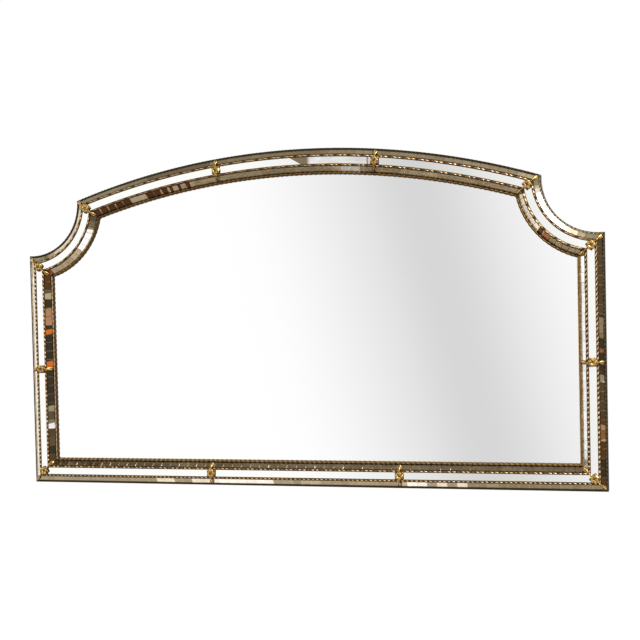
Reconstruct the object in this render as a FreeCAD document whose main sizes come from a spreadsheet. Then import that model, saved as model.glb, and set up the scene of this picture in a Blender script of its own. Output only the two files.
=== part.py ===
import FreeCAD, Part
import math
import os
from types import SimpleNamespace
from FreeCAD import Placement, Rotation, Vector

# Mosaic wall mirror with an arched top and quarter-round notches at its upper corners.
# Six mitred wooden rails carry two bands of small mirror tiles, four brass bead lines, a flat band of
# long mirror strips and twelve brass roses round one large mirror plate.
# X points right, Y points into the wall and Z points up. The origin lies on the back plane of the
# frame, at the middle of its bottom edge. "Depth" is the distance from the edge of the frame inwards,
# and "rise" the distance from the back plane towards the room.

DRIVING_SIZES = {
    # Outline of the frame's outer edge
    "half_width": 700,
    "crown_height": 786,
    "arch_edge_drop": 141.7,
    "notch_radius": 126,
    "notch_center_inset": 9,
    "notch_center_drop": 96,
    # Widths across the frame face, from the outer edge inwards
    "outer_bead_diameter": 5,
    "outer_band_width": 10,
    "rope_diameter": 6,
    "strip_band_width": 16,
    "inner_band_width": 10,
    "inner_bead_diameter": 6.4,
    # Rises and thicknesses of the moulding
    "flat_rise": 29,
    "outer_band_drop": 6.4,
    "inner_band_drop": 11.6,
    "lip_thickness": 2.4,
    # Mirror glass, back board and how far each laps behind the frame
    "plate_thickness": 4,
    "plate_lap": 6,
    "board_thickness": 6,
    "board_lap": 17.4,
    "rebate_clearance": 0.5,
    "strip_thickness": 3,
    "strip_clearance": 0.15,
    # Tiles
    "tile_thickness": 2,
    "tile_bedding": 0.33,
    "tile_joint": 0.8,
    "tile_pitch": 21,
    "bottom_tile_pitch": 23,
    "notch_tile_pitch": 15.6,
    "band_margin": 0.4,
    # Rose, its leaves and its two buds
    "rose_radius": 11,
    "petal_thickness": 1.9,
    "rose_cup_radius": 5.6,
    "rose_cup_height": 3.4,
    "rose_pit_radius": 2.1,
    "rose_waist_radius": 4.6,
    "rose_foot_radius": 6,
    "stem_width": 3,
    "stem_clearance": 0.3,
    "bud_length": 10.5,
    "bud_width": 9,
    "leaf_length": 10.5,
    "leaf_width": 5.2,
    # Hanger strap, its ring and its screws
    "hanger_drop": 316,
    "strap_width": 14,
    "strap_gauge": 1.2,
    "strap_end_margin": 6,
    "ring_wire_diameter": 3,
    "ring_bore_clearance": 0.1,
    "ring_strap_gap": 0.4,
    "ring_half_width": 11.5,
    "ring_corner_radius": 3,
    "ring_side_length": 2,
    "hanger_screw_first": 24,
    "hanger_screw_spacing": 14,
    # Wood screws
    "screw_head_diameter": 7,
    "screw_head_height": 1.8,
    "screw_shank_diameter": 3.4,
    "screw_hole_clearance": 0.3,
    "screw_bite": 8,
    # Wall bumpers
    "bumper_diameter": 12,
    "bumper_thickness": 6.5,
    # Length by which a cut runs past what it cuts
    "overrun": 5,
}

# Places of the roses, as shares of the half width and of a stile's height
ARCH_ROSE_SHARE = 0.276
BOTTOM_ROSE_SHARES = (-0.3205, 0.3365)
STILE_ROSE_SHARE = 0.5

# Places of the back board's screws, as shares of each rail's run
ARCH_SCREW_SHARES = (0.06, 0.5, 0.94)
NOTCH_SCREW_SHARES = (0.5,)
STILE_SCREW_SHARES = (0.12, 0.88)
BOTTOM_SCREW_SHARES = (0.06, 0.5, 0.94)

# The rose: its petals, each drawn by three points, where its stem comes down on the outer and inner
# tiles as shares of their bands, and the turns of its leaves
PETAL_COUNT = 5
PETAL_REACH_SHARES = (0.78, 1, 1)
OUTER_LAND_SHARE = 0.33
INNER_LAND_SHARE = 0.25
LEAF_TURNS_DEG = (52, 128, 232, 308)

# Half outlines of a leaf and of a bud, as shares of their length and width
LEAF_HALF_SHARES = ((-0.5, 0), (0.05, 0.5))
BUD_HALF_SHARES = ((-0.5, 0.25), (0, 0.5), (0.5, 0.25))

# Section of a bead line on its seat, as shares of its diameter
BEAD_SECTION_SHARES = ((-0.5, 0), (-0.44, 0.66), (0, 1), (0.44, 0.66), (0.5, 0))

# Small round things that repeat many times are drawn with flat sides
CUP_SIDES = 6
SCREW_SIDES = 6
WIRE_SIDES = 6
BARREL_SIDES = 12
RING_KNEE_STEPS = 2
RING_BOW_STEPS = 8

# Middles and sweeps of the curved rails, before they are cut to their mitres
ARCH_MIDDLE_DEG = 90
RIGHT_NOTCH_MIDDLE_DEG = 225
LEFT_NOTCH_MIDDLE_DEG = -45
NOTCH_SWEEP_DEG = 130
ARCH_SWEEP_DEG = 60
TOWARDS_ROOM = Vector(0, -1, 0)

# Three points that bend less than this share of their length make a straight edge
STRAIGHT_SHARE = 1e-7


def open_document():
    """Make the document and its sheet of driving sizes, and read the sizes back as numbers."""
    document = FreeCAD.newDocument("MosaicMirror")
    sheet = document.addObject("Spreadsheet::Sheet", "Sizes")
    for row, (alias, value) in enumerate(DRIVING_SIZES.items(), start=1):
        sheet.set(f"A{row}", alias)
        sheet.set(f"B{row}", str(value))
        sheet.setAlias(f"B{row}", alias)
    document.recompute()
    numbers = {alias: float(sheet.get(alias)) for alias in DRIVING_SIZES}
    return document, SimpleNamespace(**numbers)


doc, size = open_document()


def add_derived_sizes():
    """Work out the depths and rises that follow from the driving sizes."""
    size.outer_band_depth = size.outer_bead_diameter
    size.outer_rope_depth = size.outer_band_depth + size.outer_band_width
    size.strip_depth = size.outer_rope_depth + size.rope_diameter
    size.inner_rope_depth = size.strip_depth + size.strip_band_width
    size.inner_band_depth = size.inner_rope_depth + size.rope_diameter
    size.inner_bead_depth = size.inner_band_depth + size.inner_band_width
    size.frame_width = size.inner_bead_depth + size.inner_bead_diameter
    size.rose_depth = size.strip_depth + size.strip_band_width / 2
    size.plate_rebate_depth = size.frame_width - size.plate_lap
    size.board_rebate_depth = size.frame_width - size.board_lap
    size.board_screw_depth = (size.plate_rebate_depth + size.board_rebate_depth) / 2
    size.outer_seat_rise = size.flat_rise - size.outer_band_drop
    size.inner_seat_rise = size.flat_rise - size.inner_band_drop
    size.plate_face_rise = size.inner_seat_rise - size.lip_thickness
    size.plate_back_rise = size.plate_face_rise - size.plate_thickness
    size.board_back_rise = size.plate_back_rise - size.board_thickness
    size.rope_crest_rise = size.flat_rise + size.rope_diameter
    size.arch_radius = (size.half_width ** 2 + size.arch_edge_drop ** 2) / (2 * size.arch_edge_drop)
    size.arch_center_z = size.crown_height - size.arch_radius
    size.notch_center_x = size.half_width - size.notch_center_inset
    size.notch_center_z = size.crown_height - size.notch_center_drop
    size.ring_axis_rise = size.strap_gauge + size.ring_strap_gap + size.ring_wire_diameter / 2
    size.hanger_x = size.half_width - size.board_rebate_depth / 2
    size.hanger_height = size.crown_height - size.hanger_drop
    size.arch_rose_offset = size.half_width * ARCH_ROSE_SHARE
    size.bottom_left_rose_x, size.bottom_right_rose_x = (
        size.half_width * share for share in BOTTOM_ROSE_SHARES)


add_derived_sizes()


def bottom_corner(hand):
    """Bottom corner on one side, as a function of depth."""
    return lambda depth: Vector(hand * (size.half_width - depth), 0, depth)


def shoulder_corner(hand):
    """Corner where a stile meets its notch, as a function of depth."""
    def corner(depth):
        x = size.half_width - depth
        drop = math.sqrt((size.notch_radius + depth) ** 2 - (x - size.notch_center_x) ** 2)
        return Vector(hand * x, 0, size.notch_center_z - drop)
    return corner


def peak_corner(hand):
    """Corner where a notch meets the arch, as a function of depth."""
    def corner(depth):
        arch = size.arch_radius - depth
        notch = size.notch_radius + depth
        across = size.notch_center_x
        up = size.notch_center_z - size.arch_center_z
        span = math.hypot(across, up)
        along = (arch ** 2 - notch ** 2 + span ** 2) / (2 * span)
        aside = math.sqrt(arch ** 2 - along ** 2)
        x = (across * along - up * aside) / span
        z = size.arch_center_z + (up * along + across * aside) / span
        return Vector(hand * x, 0, z)
    return corner


class StraightRun:
    """A straight rail's line: stations are distances along it."""

    def __init__(self, name, origin, inward, along, start_corner, end_corner):
        self.name = name
        self.origin = origin
        self.inward = inward
        self.along = along
        self.corners = (start_corner, end_corner)

    def point(self, depth, station):
        return self.origin + self.inward * depth + self.along * station

    def station_of(self, point):
        return (point - self.origin).dot(self.along)

    def inward_at(self, station):
        return self.inward

    def length(self, depth, first, last):
        return last - first

    def step(self, depth, distance):
        return distance


class ArcRun:
    """A curved rail's line: stations are angles, and depth grows or shrinks its radius."""

    def __init__(self, name, center, radius, growth, middle_deg, start_corner, end_corner):
        self.name = name
        self.center = center
        self.radius = radius
        self.growth = growth
        self.middle = math.radians(middle_deg)
        self.corners = (start_corner, end_corner)

    def point(self, depth, station):
        reach = self.radius + self.growth * depth
        return self.center + Vector(math.cos(station), 0, math.sin(station)) * reach

    def station_of(self, point):
        arm = point - self.center
        turn = math.atan2(arm.z, arm.x) - self.middle
        return self.middle + math.remainder(turn, math.tau)

    def inward_at(self, station):
        return Vector(math.cos(station), 0, math.sin(station)) * self.growth

    def length(self, depth, first, last):
        return (last - first) * (self.radius + self.growth * depth)

    def step(self, depth, distance):
        return distance / (self.radius + self.growth * depth)


def make_runs():
    """The six rails' lines, in the order in which they meet round the frame."""
    right = Vector(1, 0, 0)
    up = Vector(0, 0, 1)
    arch_center = Vector(0, 0, size.arch_center_z)
    notch_center = Vector(size.notch_center_x, 0, size.notch_center_z)
    left_notch_center = Vector(-size.notch_center_x, 0, size.notch_center_z)
    return {
        "top_arch": ArcRun("top_arch", arch_center, size.arch_radius, -1, ARCH_MIDDLE_DEG,
                           peak_corner(1), peak_corner(-1)),
        "left_notch": ArcRun("left_notch", left_notch_center, size.notch_radius, 1,
                             LEFT_NOTCH_MIDDLE_DEG, shoulder_corner(-1), peak_corner(-1)),
        "right_notch": ArcRun("right_notch", notch_center, size.notch_radius, 1,
                              RIGHT_NOTCH_MIDDLE_DEG, peak_corner(1), shoulder_corner(1)),
        "left_stile": StraightRun("left_stile", right * -size.half_width, right, up,
                                  bottom_corner(-1), shoulder_corner(-1)),
        "right_stile": StraightRun("right_stile", right * size.half_width, right * -1, up,
                                   bottom_corner(1), shoulder_corner(1)),
        "bottom": StraightRun("bottom", Vector(0, 0, 0), up, right,
                              bottom_corner(-1), bottom_corner(1)),
    }


RUNS = make_runs()
size.stile_rose_height = RUNS["left_stile"].corners[1](0).z * STILE_ROSE_SHARE


def mitre(run, end):
    """The station of a run's mitred end, as a function of depth."""
    return lambda depth: run.station_of(run.corners[end](depth))


def crosscut(station):
    """A square end at one station, as a function of depth."""
    return lambda depth: station


def flat(point):
    """A point of the back plane in a sketch's own two coordinates."""
    return Vector(point.x, point.z, 0)


def curve(first, middle, last):
    """The straight or round edge through three points."""
    bend = (middle - first).cross(last - first).Length
    if bend <= STRAIGHT_SHARE * (last - first).Length ** 2:
        return Part.LineSegment(first, last)
    return Part.ArcOfCircle(first, middle, last)


def run_curve(run, depth, start, end):
    """The edge of a run at one depth, between two ends."""
    first = start(depth)
    last = end(depth)
    return curve(flat(run.point(depth, first)), flat(run.point(depth, (first + last) / 2)),
                 flat(run.point(depth, last)))


def end_curve(run, near, far, end):
    """The edge of a run's end, from one depth to another."""
    middle = (near + far) / 2
    return curve(flat(run.point(near, end(near))), flat(run.point(middle, end(middle))),
                 flat(run.point(far, end(far))))


def span_outline(run, near, far, start, end):
    """The closed outline of a stretch of a run, between two depths and two ends."""
    return [end_curve(run, near, far, start), run_curve(run, far, start, end),
            end_curve(run, near, far, end), run_curve(run, near, start, end)]


def ring_outline(depth):
    """The closed outline of the whole frame at one depth."""
    return [run_curve(run, depth, mitre(run, 0), mitre(run, 1)) for run in RUNS.values()]


def polygon(points):
    """The closed polygon through a list of sketch points."""
    return [Part.LineSegment(a, b) for a, b in zip(points, points[1:] + points[:1])]


def circle(center, radius):
    """A full circle in a sketch."""
    return Part.Circle(center, Vector(0, 0, 1), radius)


def many_sided(center, radius, sides):
    """A regular polygon in a sketch, with its corners on a circle and a flat side down."""
    turns = [math.tau * (corner + 1 / 2) / sides - math.tau / 4 for corner in range(sides)]
    return [center + Vector(math.cos(turn), math.sin(turn), 0) * radius for turn in turns]


def free_sketch(name, edges, placement):
    """A sketch that stands by itself, for the extrusions, revolutions and booleans."""
    sketch = doc.addObject("Sketcher::SketchObject", name)
    sketch.addGeometry(edges, False)
    sketch.Placement = placement
    return sketch


def wall_placement(rise):
    """Placement of a sketch that lies parallel to the wall, facing the room."""
    return Placement(Vector(0, -rise, 0), Rotation(Vector(1, 0, 0), 90))


def body_sketch(body, name, edges, rise_expression=None, role="XZ_Plane"):
    """A sketch on one of the body's origin planes, lifted by an expression of the sheet."""
    sketch = body.newObject("Sketcher::SketchObject", name)
    plane = [item for item in body.Origin.OriginFeatures if item.Role == role][0]
    sketch.AttachmentSupport = [(plane, "")]
    sketch.MapMode = "FlatFace"
    if rise_expression:
        sketch.setExpression("AttachmentOffset.Base.z", rise_expression)
    sketch.addGeometry(edges, False)
    return sketch


def pad(body, name, sketch, length_expression, midplane=False):
    """A pad whose length follows the sheet."""
    feature = body.newObject("PartDesign::Pad", name)
    feature.Profile = sketch
    feature.setExpression("Length", length_expression)
    feature.Midplane = midplane
    return feature


def drill(body, name, sketch):
    """A pocket right through the body, both ways from its sketch."""
    feature = body.newObject("PartDesign::Pocket", name)
    feature.Profile = sketch
    feature.Type = "ThroughAll"
    feature.Midplane = True
    return feature


PLATE_BACK = ("(Sizes.flat_rise - Sizes.inner_band_drop - Sizes.lip_thickness"
              " - Sizes.plate_thickness)")
BOARD_BACK = f"({PLATE_BACK} - Sizes.board_thickness)"
RAIL_HEIGHT = "(Sizes.flat_rise + Sizes.rope_diameter + 2 * Sizes.overrun)"


def moulding_section():
    """The rail's section, as points of depth and rise."""
    corners = (
        (0, 0),
        (0, size.outer_seat_rise),
        (size.outer_band_depth, size.outer_seat_rise),
        (size.outer_rope_depth, size.flat_rise),
        (size.inner_band_depth, size.flat_rise),
        (size.inner_bead_depth, size.inner_seat_rise),
        (size.frame_width, size.inner_seat_rise),
        (size.frame_width, size.plate_face_rise),
        (size.plate_rebate_depth, size.plate_face_rise),
        (size.plate_rebate_depth, size.plate_back_rise),
        (size.board_rebate_depth, size.plate_back_rise),
        (size.board_rebate_depth, 0),
    )
    return polygon([Vector(depth, rise, 0) for depth, rise in corners])


def section_placement(run, station):
    """Placement that stands a section of depth and rise across a run."""
    inward = run.inward_at(station)
    turn = Rotation(inward, TOWARDS_ROOM, inward.cross(TOWARDS_ROOM), "XYZ")
    return Placement(run.point(0, station), turn)


def swept_moulding(run):
    """The moulding swept along its whole line, longer than the rail."""
    middle = (mitre(run, 0)(0) + mitre(run, 1)(0)) / 2
    if isinstance(run, ArcRun):
        middle = run.middle
    section = free_sketch(f"{run.name}_section", moulding_section(), section_placement(run, middle))
    if isinstance(run, StraightRun):
        sweep = doc.addObject("Part::Extrusion", f"{run.name}_sweep")
        sweep.Base = section
        sweep.DirMode = "Custom"
        sweep.Dir = run.along
        sweep.setExpression("LengthFwd", "2 * Sizes.half_width + 2 * Sizes.overrun")
    else:
        sweep = doc.addObject("Part::Revolution", f"{run.name}_sweep")
        sweep.Source = section
        sweep.Axis = Vector(0, 1, 0)
        sweep.Base = run.center
        sweep.Angle = ARCH_SWEEP_DEG if run.growth < 0 else NOTCH_SWEEP_DEG
    sweep.Symmetric = True
    sweep.Solid = True
    return sweep


def mitred_span(run):
    """The block of space that one rail fills between its mitres, for trimming."""
    outline = span_outline(run, -size.overrun, size.frame_width + size.overrun,
                           mitre(run, 0), mitre(run, 1))
    sketch = free_sketch(f"{run.name}_plan", outline, wall_placement(-size.overrun))
    block = doc.addObject("Part::Extrusion", f"{run.name}_span")
    block.Base = sketch
    block.DirMode = "Custom"
    block.Dir = TOWARDS_ROOM
    block.setExpression("LengthFwd", RAIL_HEIGHT)
    block.Solid = True
    return block


def pilot_holes(run, places, near_rise, far_rise):
    """Screw holes in a rail, as one group of cylinders between two rises."""
    holes = []
    for number, place in enumerate(places, start=1):
        hole = doc.addObject("Part::Prism", f"{run.name}_hole_{number}")
        hole.Polygon = SCREW_SIDES
        hole.setExpression("Circumradius", "Sizes.screw_shank_diameter / 2")
        hole.Height = far_rise - near_rise
        hole.Placement = Placement(place - Vector(0, near_rise, 0), Rotation(Vector(1, 0, 0), 90))
        holes.append(hole)
    group = doc.addObject("Part::Compound", f"{run.name}_holes")
    group.Links = holes
    return group


def build_rail(run, label, board_places, hanger_places):
    """One wooden rail: the moulding, cut to its mitres and drilled for its screws."""
    blank = doc.addObject("Part::Common", f"{run.name}_blank")
    blank.Base = swept_moulding(run)
    blank.Tool = mitred_span(run)
    tools = [pilot_holes(run, board_places, size.plate_back_rise - size.overrun,
                         size.plate_back_rise + size.screw_bite + size.screw_hole_clearance)]
    if hanger_places:
        tools.append(pilot_holes(run, hanger_places, -size.overrun,
                                 size.screw_bite + size.screw_hole_clearance))
    group = doc.addObject("Part::Compound", f"{run.name}_drilling")
    group.Links = tools
    rail = doc.addObject("Part::Cut", label)
    rail.Base = blank
    rail.Tool = group
    rail.Refine = True
    return rail, blank.Tool


def board_screw_places(run, shares):
    """Places of the back board's screws along one rail."""
    depth = size.board_screw_depth
    first = mitre(run, 0)(depth)
    last = mitre(run, 1)(depth)
    return [run.point(depth, first + share * (last - first)) for share in shares]


def hanger_screw_places(hand):
    """Places of the two screws of one hanger strap."""
    heights = (size.hanger_height - size.hanger_screw_first,
               size.hanger_height - size.hanger_screw_first - size.hanger_screw_spacing)
    return [Vector(hand * size.hanger_x, 0, height) for height in heights]


def build_panel(label, depth, back_expression, thickness_expression, hole_places=()):
    """A flat panel that follows the frame's outline at one depth."""
    body = doc.addObject("PartDesign::Body", label)
    sketch = body_sketch(body, f"{label}_outline", ring_outline(depth), back_expression)
    pad(body, f"{label}_pad", sketch, thickness_expression)
    if hole_places:
        doc.recompute()
        radius = (size.screw_shank_diameter + size.screw_hole_clearance) / 2
        holes = [side for place in hole_places
                 for side in polygon(many_sided(flat(place), radius, SCREW_SIDES))]
        drill(body, f"{label}_holes", body_sketch(body, f"{label}_hole_sketch", holes))
    return body


def strip_stations():
    """Each mirror strip's name, run and two ends. They meet under the roses and at the mitres."""
    arch = RUNS["top_arch"]
    depth = size.rose_depth
    reach = size.arch_radius - depth
    arch_turn = math.asin(size.arch_rose_offset / reach)
    ends = {
        "top_arch": (mitre(arch, 0), crosscut(arch.middle - arch_turn),
                     crosscut(arch.middle + arch_turn), mitre(arch, 1)),
        "bottom": (mitre(RUNS["bottom"], 0), crosscut(size.bottom_left_rose_x),
                   crosscut(size.bottom_right_rose_x), mitre(RUNS["bottom"], 1)),
    }
    names = {"top_arch": ("arch_right", "arch_middle", "arch_left"),
             "bottom": ("bottom_left", "bottom_middle", "bottom_right")}
    for side in ("left", "right"):
        run = RUNS[f"{side}_stile"]
        ends[run.name] = (mitre(run, 0), crosscut(size.stile_rose_height), mitre(run, 1))
        names[run.name] = (f"{side}_stile_lower", f"{side}_stile_upper")
        run = RUNS[f"{side}_notch"]
        ends[run.name] = (mitre(run, 0), mitre(run, 1))
        names[run.name] = (f"{side}_notch",)
    for run_name, labels in names.items():
        for label, start, end in zip(labels, ends[run_name], ends[run_name][1:]):
            yield f"{label}_mirror_strip", RUNS[run_name], start, end


def build_strip(label, run, start, end):
    """One long mirror strip, lying on the flat of the moulding between the two ropes."""
    body = doc.addObject("PartDesign::Body", label)
    outline = span_outline(run, size.strip_depth + size.strip_clearance,
                           size.inner_rope_depth - size.strip_clearance, start, end)
    sketch = body_sketch(body, f"{label}_outline", outline, "Sizes.flat_rise")
    pad(body, f"{label}_pad", sketch, "Sizes.strip_thickness")
    return body


def prism(plan, rise_at, thickness):
    """A flat-sided solid over a plan polygon, between two parallel tilted planes."""
    lower = [point + TOWARDS_ROOM * rise_at(point) for point in plan]
    upper = [point + TOWARDS_ROOM * thickness for point in lower]
    faces = [Part.Face(Part.makePolygon(ring + ring[:1])) for ring in (lower, upper)]
    count = len(plan)
    for a, b in ((i, (i + 1) % count) for i in range(count)):
        side = [lower[a], lower[b], upper[b], upper[a], lower[a]]
        faces.append(Part.Face(Part.makePolygon(side)))
    return Part.Solid(Part.Shell(faces))


def tile_band(run, near, far, near_rise, far_rise, pitch):
    """The mirror tiles of one band on one rail: flat plates on the moulding's slope."""
    slope = (far_rise - near_rise) / (far - near)
    thickness = size.tile_thickness * math.hypot(1, slope)
    outer = near + size.band_margin
    inner = far - size.band_margin
    middle = (near + far) / 2
    gap = run.step(middle, size.tile_joint / 2)

    def end_station(index, count, depth):
        first = mitre(run, 0)(middle)
        last = mitre(run, 1)(middle)
        if index == 0:
            return mitre(run, 0)(depth)
        if index == count:
            return mitre(run, 1)(depth)
        return first + (last - first) * index / count

    count = round(run.length(middle, mitre(run, 0)(middle), mitre(run, 1)(middle)) / pitch)
    tiles = []
    for index in range(count):
        plan = [run.point(outer, end_station(index, count, outer) + gap),
                run.point(outer, end_station(index + 1, count, outer) - gap),
                run.point(inner, end_station(index + 1, count, inner) - gap),
                run.point(inner, end_station(index, count, inner) + gap)]
        center = (end_station(index, count, middle) + end_station(index + 1, count, middle)) / 2
        origin = run.point(near, center)
        inward = run.inward_at(center)

        def rise_at(point):
            return near_rise + size.tile_bedding + slope * (point - origin).dot(inward)

        tiles.append(prism(plan, rise_at, thickness))
    return tiles


def build_tiles(run, label, outer_band):
    """The node of one rail's outer or inner tiles."""
    pitch = size.tile_pitch
    if run.name.endswith("notch"):
        pitch = size.notch_tile_pitch
    elif run.name == "bottom":
        pitch = size.bottom_tile_pitch
    if outer_band:
        tiles = tile_band(run, size.outer_band_depth, size.outer_rope_depth,
                          size.outer_seat_rise, size.flat_rise, pitch)
    else:
        tiles = tile_band(run, size.inner_band_depth, size.inner_bead_depth,
                          size.flat_rise, size.inner_seat_rise, pitch)
    node = doc.addObject("Part::Feature", label)
    node.Shape = Part.makeCompound(tiles)
    node.Placement = Placement()
    return node


def bead_blank(run, depth, rise, diameter):
    """A bead along a whole run, longer than the rail, flat on its seat and rounded above."""
    middle = (mitre(run, 0)(depth) + mitre(run, 1)(depth)) / 2
    ring = [Vector(depth + across * diameter, rise + up * diameter, 0)
            for across, up in BEAD_SECTION_SHARES]
    wire = Part.makePolygon(ring + ring[:1])
    if isinstance(run, StraightRun):
        wire.Placement = section_placement(run, middle - size.half_width - size.overrun)
        return Part.Face(wire).extrude(run.along * (2 * size.half_width + 2 * size.overrun))
    sweep_deg = ARCH_SWEEP_DEG if run.growth < 0 else NOTCH_SWEEP_DEG
    wire.Placement = section_placement(run, run.middle)
    half_sweep = Part.Face(wire).revolve(run.center, Vector(0, 1, 0), sweep_deg / 2)
    other_half = Part.Face(wire).revolve(run.center, Vector(0, 1, 0), -sweep_deg / 2)
    return half_sweep.fuse(other_half).removeSplitter()


def build_bead(label, near, diameter, seat_rise, spans):
    """One brass bead line round the frame, in six lengths that meet at the mitres."""
    pieces = []
    for run in RUNS.values():
        blank = bead_blank(run, near + diameter / 2, seat_rise, diameter)
        pieces.extend(blank.common(spans[run.name].Shape).Solids)
    node = doc.addObject("Part::Feature", label)
    node.Shape = Part.makeCompound(pieces)
    node.Placement = Placement()
    return node


def leaf_outline(center, turn, length, width, half_shares):
    """A closed leaf-like outline, alike on both sides of its length and turned about a place."""
    along = Vector(math.cos(turn), math.sin(turn), 0) * length
    aside = Vector(-math.sin(turn), math.cos(turn), 0) * width
    upper = [center + along * reach + aside * spread for reach, spread in half_shares]
    lower = [center + along * reach - aside * spread for reach, spread in reversed(half_shares)]
    if half_shares[0][1] == 0:
        lower = lower[:-1]
        upper.append(center + along / 2)
    return polygon(upper + lower)


def extrude(name, edges, placement, direction, length_expression):
    """An extrusion of a free sketch."""
    block = doc.addObject("Part::Extrusion", name)
    block.Base = free_sketch(f"{name}_sketch", edges, placement)
    block.DirMode = "Custom"
    block.Dir = direction
    block.setExpression("LengthFwd", length_expression)
    block.Solid = True
    return block


def stem_side(stretch):
    """The stem's side view, across the frame: over both ropes and down both tile slopes.

    On a mitre the inner slopes of two rails form a valley, and the stem and its bud lie across it.
    """
    outer_slope = size.outer_band_drop / size.outer_band_width
    inner_slope = size.inner_band_drop / size.inner_band_width
    clear = size.stem_clearance
    outer_top = size.flat_rise + size.tile_bedding + size.tile_thickness * math.hypot(1, outer_slope)
    inner_top = size.flat_rise + size.tile_bedding + size.tile_thickness * math.hypot(1, inner_slope)
    crest = size.rope_crest_rise + clear
    half = size.strip_band_width / 2
    rope = size.rope_diameter
    shoulder = half + rope
    valley = inner_slope * size.bud_width / 2 * math.sqrt(1 - 1 / stretch ** 2)
    inner_top += valley
    outer_land = half + rope + size.outer_band_width * OUTER_LAND_SHARE
    outer_tip = half + rope + size.outer_band_width - 2 * size.band_margin
    inner_land = half + rope + size.inner_band_width * INNER_LAND_SHARE
    inner_tip = half + rope + size.inner_band_width - size.band_margin

    def over(reach, top, slope):
        return top - slope * (reach - half - rope) + clear

    under = [(outer_tip, over(outer_tip, outer_top, outer_slope)),
             (outer_land, over(outer_land, outer_top, outer_slope)),
             (shoulder, crest),
             (-shoulder, crest),
             (-inner_land, over(inner_land, inner_top, inner_slope)),
             (-inner_tip, over(inner_tip, inner_top, inner_slope))]
    lift = size.petal_thickness
    above = [(reach, rise + lift * math.hypot(1, outer_slope if reach > 0 else inner_slope))
             for reach, rise in reversed(under)]
    return polygon([Vector(reach * stretch, rise, 0) for reach, rise in under + above])


def petal_outline():
    """The rose's outer edge: a ring of petals."""
    points = []
    for petal in range(PETAL_COUNT):
        for step, share in enumerate(PETAL_REACH_SHARES):
            turn = math.tau * (petal + step / len(PETAL_REACH_SHARES)) / PETAL_COUNT
            points.append(Vector(math.cos(turn), math.sin(turn), 0) * size.rose_radius * share)
    return polygon(points)


def rose_core(name):
    """The rose's foot on the strip, its waist, its rim and the pit inside, as one faceted cup."""
    foot = size.flat_rise + size.strip_thickness
    petals = size.rope_crest_rise + size.stem_clearance
    floor = petals + size.petal_thickness
    rings = ((foot, size.rose_foot_radius), (petals, size.rose_waist_radius),
             (floor + size.rose_cup_height, size.rose_cup_radius), (floor, size.rose_pit_radius))
    levels = []
    for rise, radius in rings:
        corners = many_sided(Vector(), radius, CUP_SIDES)
        levels.append([Vector(corner.x, -rise, corner.y) for corner in corners])
    faces = [Part.Face(Part.makePolygon(ring + ring[:1])) for ring in (levels[0], levels[-1])]
    for lower, upper in zip(levels, levels[1:]):
        for a, b in ((i, (i + 1) % CUP_SIDES) for i in range(CUP_SIDES)):
            side = [lower[a], lower[b], upper[b], upper[a], lower[a]]
            faces.append(Part.Face(Part.makePolygon(side)))
    cup = doc.addObject("Part::Feature", name)
    cup.Shape = Part.Solid(Part.Shell(faces))
    return cup


def build_rose(label, place, outward, stretch):
    """One brass ornament: an open rose, four leaves and a bud on each tile band."""
    crest = size.rope_crest_rise + size.stem_clearance
    half = size.strip_band_width / 2
    outer_bud = (half + size.rope_diameter + size.outer_band_width / 2) * stretch
    inner_bud = -(half + size.rope_diameter + size.inner_band_width / 2) * stretch
    reach = (half + size.rope_diameter) * stretch
    stem = polygon([Vector(x, z, 0) for x, z in (
        (inner_bud, -size.stem_width / 2), (outer_bud, -size.stem_width / 2),
        (outer_bud, size.stem_width / 2), (inner_bud, size.stem_width / 2))])
    upright = Rotation(Vector(1, 0, 0), TOWARDS_ROOM, Vector(0, 0, -1), "XYZ")
    side = extrude(f"{label}_side", stem_side(stretch),
                   Placement(Vector(0, 0, size.bud_width), upright), Vector(0, 0, -1),
                   "2 * Sizes.bud_width")
    plans = [extrude(f"{label}_stem_plan", stem, wall_placement(0), TOWARDS_ROOM,
                     "Sizes.flat_rise + 2 * Sizes.rope_diameter")]
    for name, center in (("outer", outer_bud), ("inner", inner_bud)):
        plans.append(extrude(f"{label}_{name}_bud_plan",
                             leaf_outline(Vector(center, 0, 0), 0, size.bud_length,
                                          size.bud_width, BUD_HALF_SHARES),
                             wall_placement(0), TOWARDS_ROOM,
                             "Sizes.flat_rise + 2 * Sizes.rope_diameter"))
    plan = doc.addObject("Part::MultiFuse", f"{label}_plan")
    plan.Shapes = plans
    arms = doc.addObject("Part::Common", f"{label}_arms")
    arms.Base = plan
    arms.Tool = side
    pieces = [arms, rose_core(f"{label}_core"),
              extrude(f"{label}_petals", petal_outline(), wall_placement(crest), TOWARDS_ROOM,
                      "Sizes.petal_thickness")]
    for number, turn_deg in enumerate(LEAF_TURNS_DEG, start=1):
        turn = math.radians(turn_deg)
        center = Vector(math.cos(turn), math.sin(turn), 0) * size.rose_radius
        pieces.append(extrude(f"{label}_leaf_{number}",
                              leaf_outline(center, turn, size.leaf_length, size.leaf_width,
                                           LEAF_HALF_SHARES),
                              wall_placement(crest), TOWARDS_ROOM, "Sizes.petal_thickness"))
    rose = doc.addObject("Part::MultiFuse", label)
    rose.Shapes = pieces
    rose.Refine = True
    angle = math.degrees(math.atan2(-outward.z, outward.x))
    rose.Placement = Placement(place, Rotation(Vector(0, 1, 0), angle))
    return rose


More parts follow.
